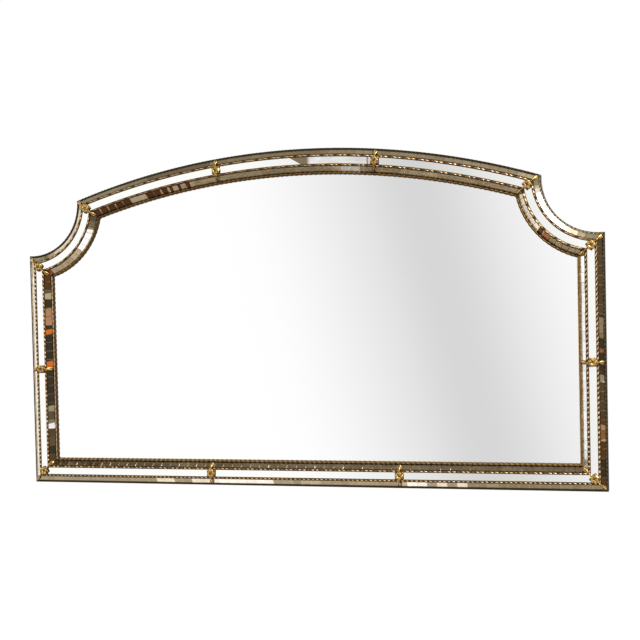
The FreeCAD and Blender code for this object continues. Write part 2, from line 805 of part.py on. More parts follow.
def rose_places():
    """Each rose's name, place, outward direction and stretch along the mitre."""
    depth = size.rose_depth
    arch = RUNS["top_arch"]
    turn = math.asin(size.arch_rose_offset / (size.arch_radius - depth))
    stations = (
        ("arch_left_rose", arch, arch.middle + turn),
        ("arch_right_rose", arch, arch.middle - turn),
        ("bottom_left_rose", RUNS["bottom"], size.bottom_left_rose_x),
        ("bottom_right_rose", RUNS["bottom"], size.bottom_right_rose_x),
        ("left_stile_rose", RUNS["left_stile"], size.stile_rose_height),
        ("right_stile_rose", RUNS["right_stile"], size.stile_rose_height),
    )
    for label, run, station in stations:
        yield label, run.point(depth, station), run.inward_at(station) * -1, 1
    for side, hand in (("left", -1), ("right", 1)):
        for kind, corner in (("bottom_corner", bottom_corner(hand)),
                             ("shoulder", shoulder_corner(hand)), ("peak", peak_corner(hand))):
            across = corner(size.outer_rope_depth) - corner(size.inner_band_depth)
            stretch = across.Length / (size.inner_band_depth - size.outer_rope_depth)
            yield f"{side}_{kind}_rose", corner(depth), across.normalize(), stretch


def screw(name, place, seat_rise, through_expression):
    """One pan-head wood screw, driven towards the room from its seat."""
    head = doc.addObject("Part::Prism", f"{name}_head")
    head.Polygon = SCREW_SIDES
    head.setExpression("Circumradius", "Sizes.screw_head_diameter / 2")
    head.setExpression("Height", "Sizes.screw_head_height")
    head.Placement = Placement(Vector(0, size.screw_head_height, 0), Rotation(Vector(1, 0, 0), 90))
    shank = doc.addObject("Part::Prism", f"{name}_shank")
    shank.Polygon = SCREW_SIDES
    shank.setExpression("Circumradius", "Sizes.screw_shank_diameter / 2")
    shank.setExpression("Height", f"{through_expression} + Sizes.screw_bite")
    shank.Placement = Placement(Vector(0, 0, 0), Rotation(Vector(1, 0, 0), 90))
    fused = doc.addObject("Part::Fuse", name)
    fused.Base = head
    fused.Tool = shank
    fused.Placement = Placement(place + TOWARDS_ROOM * seat_rise, Rotation())
    return fused


def build_screws(label, places, seat_rise, through_expression):
    """A group of identical screws."""
    group = doc.addObject("Part::Compound", label)
    group.Links = [screw(f"{label}_{number}", place, seat_rise, through_expression)
                   for number, place in enumerate(places, start=1)]
    return group


def build_hanger_strap(label, hand):
    """A hanger strap: a leaf with two screw holes, rolled into a barrel at its upper end."""
    body = doc.addObject("PartDesign::Body", label)
    first = size.hanger_screw_first
    last = first + size.hanger_screw_spacing
    foot = last + size.strap_end_margin
    half = size.strap_width / 2
    leaf = [Part.LineSegment(Vector(-half, 0, 0), Vector(half, 0, 0)),
            Part.LineSegment(Vector(half, 0, 0), Vector(half, half - foot, 0)),
            Part.ArcOfCircle(Vector(half, half - foot, 0), Vector(0, -foot, 0),
                             Vector(-half, half - foot, 0)),
            Part.LineSegment(Vector(-half, half - foot, 0), Vector(-half, 0, 0))]
    sketch = body_sketch(body, f"{label}_leaf_sketch", leaf)
    leaf_pad = pad(body, f"{label}_leaf", sketch, "Sizes.strap_gauge")
    leaf_pad.Reversed = True
    bore = (size.ring_wire_diameter / 2) + size.ring_bore_clearance
    axis = Vector(size.ring_axis_rise, 0, 0)
    barrel = polygon(many_sided(axis, bore + size.strap_gauge, BARREL_SIDES))
    barrel_sketch = body_sketch(body, f"{label}_barrel_sketch", barrel, role="YZ_Plane")
    pad(body, f"{label}_barrel", barrel_sketch, "Sizes.strap_width", midplane=True)
    doc.recompute()
    bore_sketch = body_sketch(body, f"{label}_bore_sketch", [circle(axis, bore)], role="YZ_Plane")
    drill(body, f"{label}_bore", bore_sketch)
    radius = (size.screw_shank_diameter + size.screw_hole_clearance) / 2
    holes = [side for drop in (first, last)
             for side in polygon(many_sided(Vector(0, -drop, 0), radius, SCREW_SIDES))]
    drill(body, f"{label}_holes", body_sketch(body, f"{label}_hole_sketch", holes))
    body.Placement = Placement(Vector(hand * size.hanger_x, 0, size.hanger_height), Rotation())
    return body


def bow_points(center, radius, first_turn, last_turn, steps):
    """Points along an arc, both ends included."""
    turns = [first_turn + (last_turn - first_turn) * step / steps for step in range(steps + 1)]
    return [center + Vector(math.cos(turn), math.sin(turn), 0) * radius for turn in turns]


def build_hanger_ring(label, hand):
    """A D-shaped ring of round wire, hanging from its straight bar in the strap's barrel."""
    body = doc.addObject("PartDesign::Body", label)
    half = size.ring_half_width
    bend = size.ring_corner_radius
    side = -bend - size.ring_side_length
    corners = [Vector()]
    corners += bow_points(Vector(half - bend, -bend, 0), bend, math.pi / 2, 0, RING_KNEE_STEPS)
    corners += bow_points(Vector(0, side, 0), half, 0, -math.pi, RING_BOW_STEPS)
    corners += bow_points(Vector(bend - half, -bend, 0), bend, math.pi, math.pi / 2,
                          RING_KNEE_STEPS)
    path = polygon(corners)
    spine = body_sketch(body, f"{label}_path", path)
    section = many_sided(Vector(), size.ring_wire_diameter / 2, WIRE_SIDES)
    wire = body_sketch(body, f"{label}_wire", polygon(section), role="YZ_Plane")
    doc.recompute()
    pipe = body.newObject("PartDesign::AdditivePipe", f"{label}_pipe")
    pipe.Profile = wire
    pipe.Spine = (spine, [f"Edge{number}" for number in range(1, len(path) + 1)])
    pipe.Transition = "Right corner"
    body.Placement = Placement(Vector(hand * size.hanger_x, size.ring_axis_rise,
                                      size.hanger_height), Rotation())
    return body


def build_bumpers(label):
    """Two rubber wall bumpers behind the bottom corners."""
    inset = size.board_rebate_depth / 2
    pads = []
    for hand in (-1, 1):
        disc = doc.addObject("Part::Cylinder", f"{label}_{'right' if hand > 0 else 'left'}")
        disc.setExpression("Radius", "Sizes.bumper_diameter / 2")
        disc.setExpression("Height", "Sizes.bumper_thickness")
        disc.Placement = Placement(Vector(hand * (size.half_width - inset), 0, inset),
                                   Rotation(Vector(1, 0, 0), -90))
        pads.append(disc)
    group = doc.addObject("Part::Compound", label)
    group.Links = pads
    return group


def build_all():
    """Every sub-part of the mirror, in the order in which it would be assembled."""
    shares = {"top_arch": ARCH_SCREW_SHARES, "left_notch": NOTCH_SCREW_SHARES,
              "right_notch": NOTCH_SCREW_SHARES, "left_stile": STILE_SCREW_SHARES,
              "right_stile": STILE_SCREW_SHARES, "bottom": BOTTOM_SCREW_SHARES}
    labels = {name: name if name.endswith("stile") else f"{name}_rail" for name in RUNS}
    hangers = {"left_stile": hanger_screw_places(-1), "right_stile": hanger_screw_places(1)}
    places = {name: board_screw_places(run, shares[name]) for name, run in RUNS.items()}
    all_places = [place for run_places in places.values() for place in run_places]
    nodes = []
    spans = {}
    for name, run in RUNS.items():
        rail, spans[name] = build_rail(run, labels[name], places[name], hangers.get(name))
        nodes.append(rail)
    doc.recompute()
    nodes.append(build_panel("main_mirror", size.plate_rebate_depth + size.rebate_clearance,
                             PLATE_BACK, "Sizes.plate_thickness"))
    nodes.append(build_panel("back_board", size.board_rebate_depth + size.rebate_clearance,
                             BOARD_BACK, "Sizes.board_thickness", all_places))
    nodes.append(build_screws("back_board_screws", all_places, size.board_back_rise,
                              "Sizes.board_thickness"))
    for label, run, start, end in strip_stations():
        nodes.append(build_strip(label, run, start, end))
    for name, run in RUNS.items():
        nodes.append(build_tiles(run, f"{name}_outer_tiles", True))
        nodes.append(build_tiles(run, f"{name}_inner_tiles", False))
    for label, near, diameter, rise in (
            ("outer_bead", 0, size.outer_bead_diameter, size.outer_seat_rise),
            ("outer_rope", size.outer_rope_depth, size.rope_diameter, size.flat_rise),
            ("inner_rope", size.inner_rope_depth, size.rope_diameter, size.flat_rise),
            ("inner_bead", size.inner_bead_depth, size.inner_bead_diameter, size.inner_seat_rise)):
        nodes.append(build_bead(label, near, diameter, rise, spans))
    for label, place, outward, stretch in rose_places():
        nodes.append(build_rose(label, place, outward, stretch))
    for side, hand in (("left", -1), ("right", 1)):
        nodes.append(build_hanger_strap(f"{side}_hanger_strap", hand))
        nodes.append(build_hanger_ring(f"{side}_hanger_ring", hand))
    nodes.append(build_screws("hanger_screws", hangers["left_stile"] + hangers["right_stile"],
                              -size.strap_gauge, "Sizes.strap_gauge"))
    nodes.append(build_bumpers("wall_bumpers"))
    return nodes


def check_and_write(nodes):
    """Check every object and every sub-part's shape, then write the files."""
    failed = [item.Label for item in doc.Objects
              if "Invalid" in item.State or "Error" in item.State]
    if failed:
        raise RuntimeError(f"objects that failed: {failed}")
    for node in nodes:
        if node.Shape.isNull() or not node.Shape.isValid() or not node.Shape.Solids:
            raise RuntimeError(f"bad shape: {node.Label}")
    os.makedirs("parts", exist_ok=True)
    for node in nodes:
        node.Shape.exportStep(os.path.join("parts", f"{node.Label}.step"))
    print(f"{len(nodes)} nodes written")


built_nodes = build_all()
doc.recompute()
check_and_write(built_nodes)
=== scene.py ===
import logging
import math
import random
from dataclasses import dataclass
from enum import Enum
from typing import Iterator, NamedTuple

import bmesh
import bpy
from mathutils import Matrix, Vector


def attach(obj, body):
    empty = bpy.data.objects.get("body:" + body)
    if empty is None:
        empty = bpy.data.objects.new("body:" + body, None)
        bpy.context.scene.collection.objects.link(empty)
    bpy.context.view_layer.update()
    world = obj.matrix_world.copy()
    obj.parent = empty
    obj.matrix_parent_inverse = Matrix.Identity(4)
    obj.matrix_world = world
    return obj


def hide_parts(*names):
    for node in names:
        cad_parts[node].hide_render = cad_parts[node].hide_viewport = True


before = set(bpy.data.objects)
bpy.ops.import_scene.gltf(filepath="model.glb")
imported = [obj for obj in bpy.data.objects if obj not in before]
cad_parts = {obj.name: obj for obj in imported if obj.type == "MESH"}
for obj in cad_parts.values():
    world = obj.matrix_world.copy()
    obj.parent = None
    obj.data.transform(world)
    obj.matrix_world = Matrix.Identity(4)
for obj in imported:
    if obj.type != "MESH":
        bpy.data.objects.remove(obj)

# Looks of the mosaic wall mirror. Lengths are metres. X points right, Y into the wall and Z up.
# "Depth" is the distance from the frame's outer edge inwards, "rise" the distance from its back
# plane towards the room, and a "share" a part of a whole, from 0 to 1. A "hand" is -1 on the left
# side and 1 on the right one. Each brass mesh stores how dark each place is, from 0 up: patina in
# its hollows, and painted shade on its sides away from the light, on its undersides and deep
# inside.

Triple = tuple[float, float, float]
Pair = tuple[float, float]
BMesh = bmesh.types.BMesh
BMVert = bmesh.types.BMVert
Socket = bpy.types.NodeSocket
Material = bpy.types.Material
Piece = bpy.types.Object

BODY = "frame"
SEED = 7
MM = 0.001
ROOM = Vector((0.0, -1.0, 0.0))
Y_AXIS = Vector((0.0, 1.0, 0.0))
SIDES = (("left", -1), ("right", 1))
WHITE = (1.0, 1.0, 1.0)
log = logging.getLogger("mosaic_mirror")


class Grain(Enum):
    """Which way the wood's grain runs: how dense it is along X, Y and Z."""

    ACROSS = (0.08, 1.0, 1.0)
    UPRIGHT = (1.0, 1.0, 0.08)


class LobeStyle(Enum):
    """How a bead line's surface is worked."""

    TWISTED = "twisted"
    SCALLOPED = "scalloped"


class TileTintAndReflection(Enum):
    """Tints of the mosaic tiles, as linear colours: the glass's own tint with a painted
    reflection of the room in it.
    """

    UMBER = (0.115, 0.085, 0.048)
    KHAKI_DARK = (0.150, 0.112, 0.062)
    KHAKI = (0.215, 0.168, 0.096)
    KHAKI_LIGHT = (0.262, 0.206, 0.126)
    OLIVE = (0.150, 0.130, 0.075)
    TAUPE = (0.315, 0.250, 0.158)
    SAND = (0.420, 0.330, 0.210)
    TAN = (0.410, 0.225, 0.115)
    BLUSH = (0.330, 0.225, 0.140)
    IVORY = (0.830, 0.760, 0.650)
    CREAM = (0.720, 0.610, 0.460)
    PEARL = (0.970, 0.870, 0.710)
    WHITE = (0.940, 0.930, 0.905)
    SILVER = (0.560, 0.530, 0.465)
    BROWN = (0.100, 0.047, 0.016)
    COCOA = (0.060, 0.027, 0.010)
    DUSK = (0.085, 0.058, 0.029)
    BLACK = (0.045, 0.035, 0.020)
    RUST = (0.270, 0.110, 0.040)
    ORANGE = (0.620, 0.165, 0.025)


# ---- shape of the frame


@dataclass(frozen=True)
class FrameSizes:
    """Sizes of the moulding, the same as in the part's source, and what follows from them."""

    half_width: float = 700 * MM
    crown_height: float = 786 * MM
    arch_edge_drop: float = 141.7 * MM
    notch_radius: float = 126 * MM
    notch_center_inset: float = 9 * MM
    notch_center_drop: float = 96 * MM
    outer_bead: float = 5 * MM
    outer_band: float = 10 * MM
    rope: float = 6 * MM
    strip: float = 16 * MM
    inner_band: float = 10 * MM
    inner_bead: float = 6.4 * MM
    flat_rise: float = 29 * MM
    outer_drop: float = 6.4 * MM
    inner_drop: float = 11.6 * MM
    strip_thickness: float = 3 * MM
    hanger_drop: float = 316 * MM
    hanger_inset: float = 21 * MM
    outer_rope_depth: float = outer_bead + outer_band
    strip_depth: float = outer_rope_depth + rope
    inner_rope_depth: float = strip_depth + strip
    inner_band_depth: float = inner_rope_depth + rope
    inner_bead_depth: float = inner_band_depth + inner_band
    rose_depth: float = strip_depth + strip / 2
    outer_seat: float = flat_rise - outer_drop
    inner_seat: float = flat_rise - inner_drop
    arch_radius: float = (half_width ** 2 + arch_edge_drop ** 2) / (2 * arch_edge_drop)
    arch_center_z: float = crown_height - arch_radius
    notch_x: float = half_width - notch_center_inset
    notch_z: float = crown_height - notch_center_drop


SIZES = FrameSizes()


class Corner(Enum):
    """Where two rails meet, with the name that its roses have."""

    BOTTOM = "bottom_corner"
    SHOULDER = "shoulder"
    PEAK = "peak"

    def at(self, hand: int, depth: float) -> Vector:
        """The corner's point on the back plane.

        Args:
            hand: The side.
            depth: Distance from the outer edge.

        Returns:
            The point.
        """
        notch = SIZES.notch_radius + depth
        x, z = SIZES.half_width - depth, depth
        if self is Corner.SHOULDER:
            z = SIZES.notch_z - math.sqrt(notch ** 2 - (x - SIZES.notch_x) ** 2)
        elif self is Corner.PEAK:
            arch = SIZES.arch_radius - depth
            across, up = SIZES.notch_x, SIZES.notch_z - SIZES.arch_center_z
            span = math.hypot(across, up)
            along = (arch ** 2 - notch ** 2 + span ** 2) / (2 * span)
            aside = math.sqrt(arch ** 2 - along ** 2)
            x = (across * along - up * aside) / span
            z = SIZES.arch_center_z + (up * along + across * aside) / span
        return Vector((hand * x, 0.0, z))


def heading(turn: float) -> Vector:
    """The direction at one angle in the frame's plane."""
    return Vector((math.cos(turn), 0.0, math.sin(turn)))


@dataclass(frozen=True)
class Rail:
    """The line of one rail between its two mitres.

    A straight rail has an inward and an along direction, and its stations are metres. A round
    one has a radius that grows or shrinks with depth, and its stations are radians.
    """

    name: str
    origin: Vector
    ends: tuple[tuple[Corner, int], tuple[Corner, int]]
    inward: Vector | None = None
    along: Vector | None = None
    radius: float = 0.0
    growth: int = 0
    middle: float = 0.0

    @property
    def round(self) -> bool:
        """Whether the rail follows an arc."""
        return self.inward is None

    def point(self, depth: float, station: float, rise: float = 0.0) -> Vector:
        """A point of the moulding.

        Args:
            depth: Distance from the outer edge.
            station: Place along the rail.
            rise: Distance from the back plane.

        Returns:
            The point.
        """
        if self.round:
            reach = self.radius + self.growth * depth
            return self.origin + heading(station) * reach + ROOM * rise
        return self.origin + self.inward * depth + self.along * station + ROOM * rise

    def inward_at(self, station: float) -> Vector:
        """The direction in which depth grows at one station."""
        return heading(station) * self.growth if self.round else self.inward.copy()

    def end(self, which: int, depth: float) -> float:
        """The station of a mitred end.

        Args:
            which: 0 for the first end, 1 for the last one.
            depth: Distance from the outer edge.

        Returns:
            The station.
        """
        corner, hand = self.ends[which]
        arm = corner.at(hand, depth) - self.origin
        if self.round:
            turn = math.atan2(arm.z, arm.x) - self.middle
            return self.middle + math.remainder(turn, math.tau)
        return arm.dot(self.along)

    def station_at(self, share: float, depth: float) -> float:
        """The station at a share of the rail's length at one depth."""
        first = self.end(0, depth)
        return first + (self.end(1, depth) - first) * share

    def length(self, depth: float) -> float:
        """The rail's length at one depth."""
        span = self.end(1, depth) - self.end(0, depth)
        return span * (self.radius + self.growth * depth) if self.round else span


def make_rails() -> dict[str, Rail]:
    """The six rails' lines.

    Returns:
        Each rail by its name.
    """
    right, up = Vector((1.0, 0.0, 0.0)), Vector((0.0, 0.0, 1.0))
    bottom, shoulder, peak = Corner
    notch = Vector((SIZES.notch_x, 0.0, SIZES.notch_z))
    left_notch = Vector((-SIZES.notch_x, 0.0, SIZES.notch_z))
    side = right * SIZES.half_width
    rails = (
        Rail("top_arch", Vector((0.0, 0.0, SIZES.arch_center_z)), ((peak, 1), (peak, -1)),
             radius=SIZES.arch_radius, growth=-1, middle=math.pi / 2),
        Rail("left_notch", left_notch, ((shoulder, -1), (peak, -1)),
             radius=SIZES.notch_radius, growth=1, middle=-math.pi / 4),
        Rail("right_notch", notch, ((peak, 1), (shoulder, 1)),
             radius=SIZES.notch_radius, growth=1, middle=math.pi * 5 / 4),
        Rail("left_stile", side * -1, ((bottom, -1), (shoulder, -1)), right, up),
        Rail("right_stile", side, ((bottom, 1), (shoulder, 1)), right * -1, up),
        Rail("bottom", Vector(), ((bottom, -1), (bottom, 1)), up, right),
    )
    return {rail.name: rail for rail in rails}


RAILS = make_rails()


# ---- mesh helpers


def new_rod(bm: BMesh, sides: int, steps: int) -> list[BMVert]:
    """A capped rod of radius 1 along Z from 0 to 1, cut into steps.

    Args:
        bm: The mesh to add to.
        sides: Number of sides of its section.
        steps: Number of steps of its length.

    Returns:
        Its vertices.
    """
    made = bmesh.ops.create_grid(bm, x_segments=steps, y_segments=sides, size=0.5)["verts"]
    for vert in made:
        turn = vert.co.y * math.tau
        vert.co = Vector((math.cos(turn), math.sin(turn), vert.co.x + 0.5))
    bmesh.ops.remove_doubles(bm, verts=made, dist=1e-5)
    verts = [vert for vert in made if vert.is_valid]
    rims = {edge for vert in verts for edge in vert.link_edges if edge.is_boundary}
    bmesh.ops.holes_fill(bm, edges=list(rims), sides=0)
    return verts


def link_mesh(bm: BMesh, name: str, material: Material) -> Piece:
    """Turn a bmesh into an object.

    Args:
        bm: The mesh, which is freed.
        name: The object's name.
        material: Its finish.

    Returns:
        The object.
    """
    mesh = bpy.data.meshes.new(name)
    bm.to_mesh(mesh)
    bm.free()
    mesh.materials.append(material)
    made = bpy.data.objects.new(name, mesh)
    bpy.context.scene.collection.objects.link(made)
    return made


def seat(bm: BMesh, name: str, material: Material, node: str, body: str = BODY,
         smooth: bool = True) -> Piece:
    """Turn a bmesh into a piece that rides on its body and stands for its CAD node.

    Args:
        bm: The mesh, which is freed.
        name: The piece's name.
        material: Its finish.
        node: The CAD node that it stands for.
        body: The CAD body that carries it.
        smooth: Whether its faces are shaded smooth.

    Returns:
        The piece.
    """
    bmesh.ops.recalc_face_normals(bm, faces=bm.faces)
    for face in bm.faces:
        face.smooth = smooth
    piece = link_mesh(bm, name, material)
    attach(piece, body)
    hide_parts(node)
    log.info("%s stands for %s", name, node)
    return piece


def dress(node: str, material: Material) -> None:
    """Give a CAD node its finish."""
    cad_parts[node].data.materials[0] = material
    log.info("%s dressed as %s", node, material.name)


# ---- shader helpers


class Value:
    """A shader value, and the arithmetic that adds nodes for it."""

    def __init__(self, nodes: "Nodes", socket: Socket) -> None:
        """Keep the node helper and the socket."""
        self.nodes = nodes
        self.socket = socket

    def __add__(self, other: "Value | float") -> "Value":
        """The sum."""
        return self.nodes.math("ADD", self, other)

    def __sub__(self, other: "Value | float") -> "Value":
        """The difference."""
        return self.nodes.math("SUBTRACT", self, other)

    def __rsub__(self, other: float) -> "Value":
        """The difference from a number."""
        return self.nodes.math("SUBTRACT", other, self)

    def __mul__(self, other: "Value | float") -> "Value":
        """The product."""
        return self.nodes.math("MULTIPLY", self, other)

    def __truediv__(self, other: "Value | float") -> "Value":
        """The quotient."""
        return self.nodes.math("DIVIDE", self, other)

    def most(self, other: "Value | float") -> "Value":
        """The larger of two values."""
        return self.nodes.math("MAXIMUM", self, other)

    def spread(self, low: float, high: float) -> "Value":
        """Spread a value from 0 to 1 over another range."""
        return self * (high - low) + low

    def smooth(self, low: float, high: float) -> "Value":
        """A soft step from 0 at the low value to 1 at the high one."""
        return self.nodes.value("ShaderNodeMapRange", interpolation_type="SMOOTHSTEP",
                                Value=self, From_Min=low, From_Max=high)


class Nodes:
    """The shader nodes of a material or a world, and how they are added and joined."""

    def __init__(self, tree: bpy.types.NodeTree, shader: str = "Principled BSDF") -> None:
        """Keep the node tree and its surface shader."""
        self.tree = tree
        self.shader = tree.nodes[shader]

    def join(self, socket: Socket, value: object) -> None:
        """Link a value to a socket, or write a number, a vector or a colour into it.

        Args:
            socket: The input socket.
            value: What goes into it.
        """
        if isinstance(value, Value):
            self.tree.links.new(value.socket, socket)
        else:
            socket.default_value = (*value, 1.0) if socket.type == "RGBA" else value

    def feed(self, node: bpy.types.Node, **inputs: object) -> bpy.types.Node:
        """Set a node's inputs and properties.

        Args:
            node: The node.
            **inputs: Socket names, with underscores for spaces, or the node's own properties.

        Returns:
            The node.
        """
        for key, value in inputs.items():
            if hasattr(node, key):
                setattr(node, key, value)
            else:
                self.join(node.inputs[key.replace("_", " ")], value)
        return node

    def surface(self, **inputs: object) -> None:
        """Set the surface shader's inputs."""
        self.feed(self.shader, **inputs)

    def outputs(self, kind: str, *names: str | int, **inputs: object) -> tuple[Value, ...]:
        """Add a node and take some of its outputs.

        Args:
            kind: Blender's name of the node type.
            *names: The outputs.
            **inputs: The node's inputs and properties, as in feed.

        Returns:
            Each output.
        """
        node = self.feed(self.tree.nodes.new(kind), **inputs)
        return tuple(Value(self, node.outputs[name]) for name in names)

    def value(self, kind: str, output: str | int = 0, **inputs: object) -> Value:
        """Add a node and take one of its outputs."""
        return self.outputs(kind, output, **inputs)[0]

    def math(self, operation: str, *values: object, kind: str = "ShaderNodeMath",
             output: str = "Value") -> Value:
        """Add a Math or Vector Math node.

        Args:
            operation: The node's operation.
            *values: Its inputs.
            kind: Blender's name of the node type.
            output: The output to take.

        Returns:
            The result.
        """
        node = self.feed(self.tree.nodes.new(kind), operation=operation)
        for socket, value in zip(node.inputs, values):
            self.join(socket, value)
        return Value(self, node.outputs[output])

    def mix(self, factor: object, first: object, second: object, blend: str = "MIX") -> Value:
        """Mix two colours.

        Args:
            factor: Share of the second colour.
            first: First colour.
            second: Second colour.
            blend: Blend type.

        Returns:
            The mixed colour.
        """
        node = self.feed(self.tree.nodes.new("ShaderNodeMix"), data_type="RGBA",
                         blend_type=blend)
        for index, value in ((0, factor), (6, first), (7, second)):
            self.join(node.inputs[index], value)
        return Value(self, node.outputs[2])

    def split(self, vector: Value) -> tuple[Value, ...]:
        """A vector's X, Y and Z."""
        return self.outputs("ShaderNodeSeparateXYZ", "X", "Y", "Z", Vector=vector)

    def place(self) -> Value:
        """The piece's own coordinates."""
        return self.value("ShaderNodeTexCoord", "Object")

    def attribute(self, name: str, output: str) -> Value:
        """What the mesh stores under a name."""
        return self.value("ShaderNodeAttribute", output, attribute_name=name)

    def noise(self, scale: float, detail: float = 3.0, stretch: Triple = (1.0, 1.0, 1.0),
              ) -> Value:
        """Noise on the piece's own coordinates.

        Args:
            scale: Number of grains in a metre.
            detail: Fineness.
            stretch: How much denser the noise is along each axis.

        Returns:
            The noise, from 0 to 1.
        """
        turned = self.value("ShaderNodeMapping", Vector=self.place(), Scale=stretch)
        return self.value("ShaderNodeTexNoise", "Fac", Vector=turned, Scale=scale,
                          Detail=detail)

    def bump(self, height: Value, distance: float, strength: float = 1.0) -> Value:
        """A bump of a real height in metres."""
        return self.value("ShaderNodeBump", Height=height, Distance=distance,
                          Strength=strength)


# ---- finishes


@dataclass(frozen=True)
class Finish:
    """A finish with a name. Each kind paints its own surface shader."""

    name: str

    def paint(self, nodes: Nodes) -> None:
        """Set the surface shader."""
        raise NotImplementedError

    def make(self) -> Material:
        """Build the finish.

        Returns:
            The material.
        """
        material = bpy.data.materials.new(self.name)
        material.use_nodes = True
        self.paint(Nodes(material.node_tree))
        return material


@dataclass(frozen=True)
class BrassFinish(Finish):
    """Cast brass: rubbed bright on crests, patina in hollows, painted shade on shaded sides and
    undersides.
    """

    bright: Triple
    body: Triple
    dark: Triple
    underside_shade: float = 0.5
    roughness: Pair = (0.20, 0.38)
    age: float = 0.0
    unevenness: float = 0.35

    def paint(self, nodes: Nodes) -> None:
        """Paint the brass by the patina and painted shade stored in the mesh, with painted shade
        on downward faces.

        Args:
            nodes: The material's nodes.
        """
        patina_and_shade = nodes.attribute("patina_and_shade", "Fac")
        normal = nodes.value("ShaderNodeNewGeometry", "Normal")
        # Painted shade: faces that point down are darkened, as if lit from above.
        downward_shade = nodes.split(normal)[2] * -self.underside_shade
        patches = nodes.noise(240.0, 4.0)
        uneven = patches.spread(self.age - self.unevenness, self.age + self.unevenness)
        # Bright where little patina and painted shade are stored, brown body colour where more
        # is, in random patches.
        worn = nodes.mix((patina_and_shade + uneven).smooth(0.0, 0.55), self.bright, self.body)
        # Stored patina and painted shade, plus the painted shade of downward faces, give the
        # share of the dark colour.
        reach = patina_and_shade + downward_shade.most(0.0)
        dark_patina_and_shade = (reach * patches.spread(0.8, 1.3)).smooth(0.35, 0.95)
        nodes.surface(
            Base_Color=nodes.mix(dark_patina_and_shade, worn, self.dark), Metallic=dark_patina_and_shade.spread(1.0, 0.25),
            Specular_IOR_Level=dark_patina_and_shade.spread(0.5, 0.15),
            Roughness=nodes.noise(900.0).spread(*self.roughness) + dark_patina_and_shade * 0.25,
            Normal=nodes.bump(nodes.noise(1400.0, 2.0), 0.15 * MM, 0.6))


@dataclass(frozen=True)
class MirrorFinish(Finish):
    """Silvered glass with a trace of age."""

    name: str = "silvered_glass"
    silver: Triple = (0.957, 0.957, 0.957)
    aged: Triple = (0.86, 0.87, 0.86)
    aging: float = 0.0
    ripple: float = 0.0

    def paint(self, nodes: Nodes) -> None:
        """Paint the silver.

        Args:
            nodes: The material's nodes.
        """
        share = nodes.noise(9.0, 6.0).smooth(0.50, 0.80) * self.aging
        nodes.surface(Base_Color=nodes.mix(share, self.silver, self.aged), Metallic=1.0,
                      Roughness=nodes.noise(30.0, 5.0).spread(0.004, 0.014))
        if self.ripple:
            nodes.surface(Normal=nodes.bump(nodes.noise(14.0, 1.0), self.ripple))


@dataclass(frozen=True)
class PaintedReflectionMirrorFinish(MirrorFinish):
    """Silvered glass with a painted tan reflection in a slanted stretch, a clouded stretch beside
    it and a narrow tan line.
    """

    tan: Triple = (0.235, 0.180, 0.115)
    cloud: Triple = (0.70, 0.67, 0.62)
    reflection_start: float = 16.5 * MM
    reflection_end: float = 33 * MM
    lean: float = 1.7
    tan_line: float = 176.5 * MM

    def paint(self, nodes: Nodes) -> None:
        """Paint the tan reflection, the clouds and the narrow tan line over the silver.

        Args:
            nodes: The material's nodes.
        """
        super().paint(nodes)
        silver = Value(nodes, nodes.shader.inputs["Base Color"].links[0].from_socket)
        x, _, z = nodes.split(nodes.place())
        rise = z - (SIZES.crown_height - SIZES.inner_rope_depth)
        # Painted reflection: tan from a slanted line on, fading out towards its far end.
        slanted = x + rise * self.lean
        started = slanted.smooth(self.reflection_start, self.reflection_start + 1.2 * MM)
        ended = x.smooth(self.reflection_end - 3 * MM, self.reflection_end + 9 * MM)
        clouds = nodes.noise(60.0, 5.0, (0.5, 1.0, 1.6)).smooth(0.42, 0.72)
        # A narrow tan line across the strip at one place along it.
        near = nodes.math("ABSOLUTE", x - self.tan_line)
        on_tan_line = 1.0 - near.smooth(0.5 * MM, 3.5 * MM)
        clouded = nodes.mix(clouds * ended * 0.75, silver, self.cloud)
        reflection_share = started * (1.0 - ended)
        nodes.surface(Base_Color=nodes.mix(reflection_share.most(on_tan_line * 0.8), clouded, self.tan))


@dataclass(frozen=True)
class TileFinish(Finish):
    """Tinted mirror tile: its own tint with a painted reflection of the room, on some a second
    painted reflection or a painted highlight at one end, and a painted highlight near both ends.
    """

    name: str = "mosaic_tile"
    arris_highlight: Triple = (0.50, 0.44, 0.33)
    arris_highlight_share: float = 0.022
    mottle: Pair = (0.80, 1.20)

    def paint(self, nodes: Nodes) -> None:
        """Paint the tiles by the tints and painted reflections stored in the mesh.

        Args:
            nodes: The material's nodes.
        """
        tile = nodes.value("ShaderNodeUVMap", uv_map="tile")
        along, across, _ = nodes.split(tile)
        # Where the tile's second painted reflection starts: a slanted line, set by the share in
        # the alpha.
        edge = along + across * -0.12 - (1.0 - nodes.attribute("tint_and_reflection", "Alpha"))
        color = nodes.mix(edge.smooth(-0.03, 0.03), nodes.attribute("tint_and_reflection", "Color"),
                          nodes.attribute("end_reflection", "Color"))
        shade = nodes.noise(120.0, 5.0).spread(*self.mottle)
        warm = nodes.noise(45.0, 2.0).spread(0.90, 1.10)
        mottled = nodes.value("ShaderNodeCombineXYZ", X=shade * warm, Y=shade, Z=shade)
        color = nodes.mix(1.0, color, mottled, "MULTIPLY")
        # Painted highlight: a light line near both ends of each tile, where the polished arris
        # would catch the light.
        from_end = nodes.math("MINIMUM", along, 1.0 - along)
        painted_arris_highlight = nodes.math("LESS_THAN", from_end, self.arris_highlight_share)
        nodes.surface(
            Base_Color=nodes.mix(painted_arris_highlight * 0.32, color, self.arris_highlight), Metallic=1.0,
            Roughness=nodes.noise(60.0, 4.0).spread(0.10, 0.24),
            Normal=nodes.bump(nodes.noise(90.0, 2.0), 0.25 * MM))


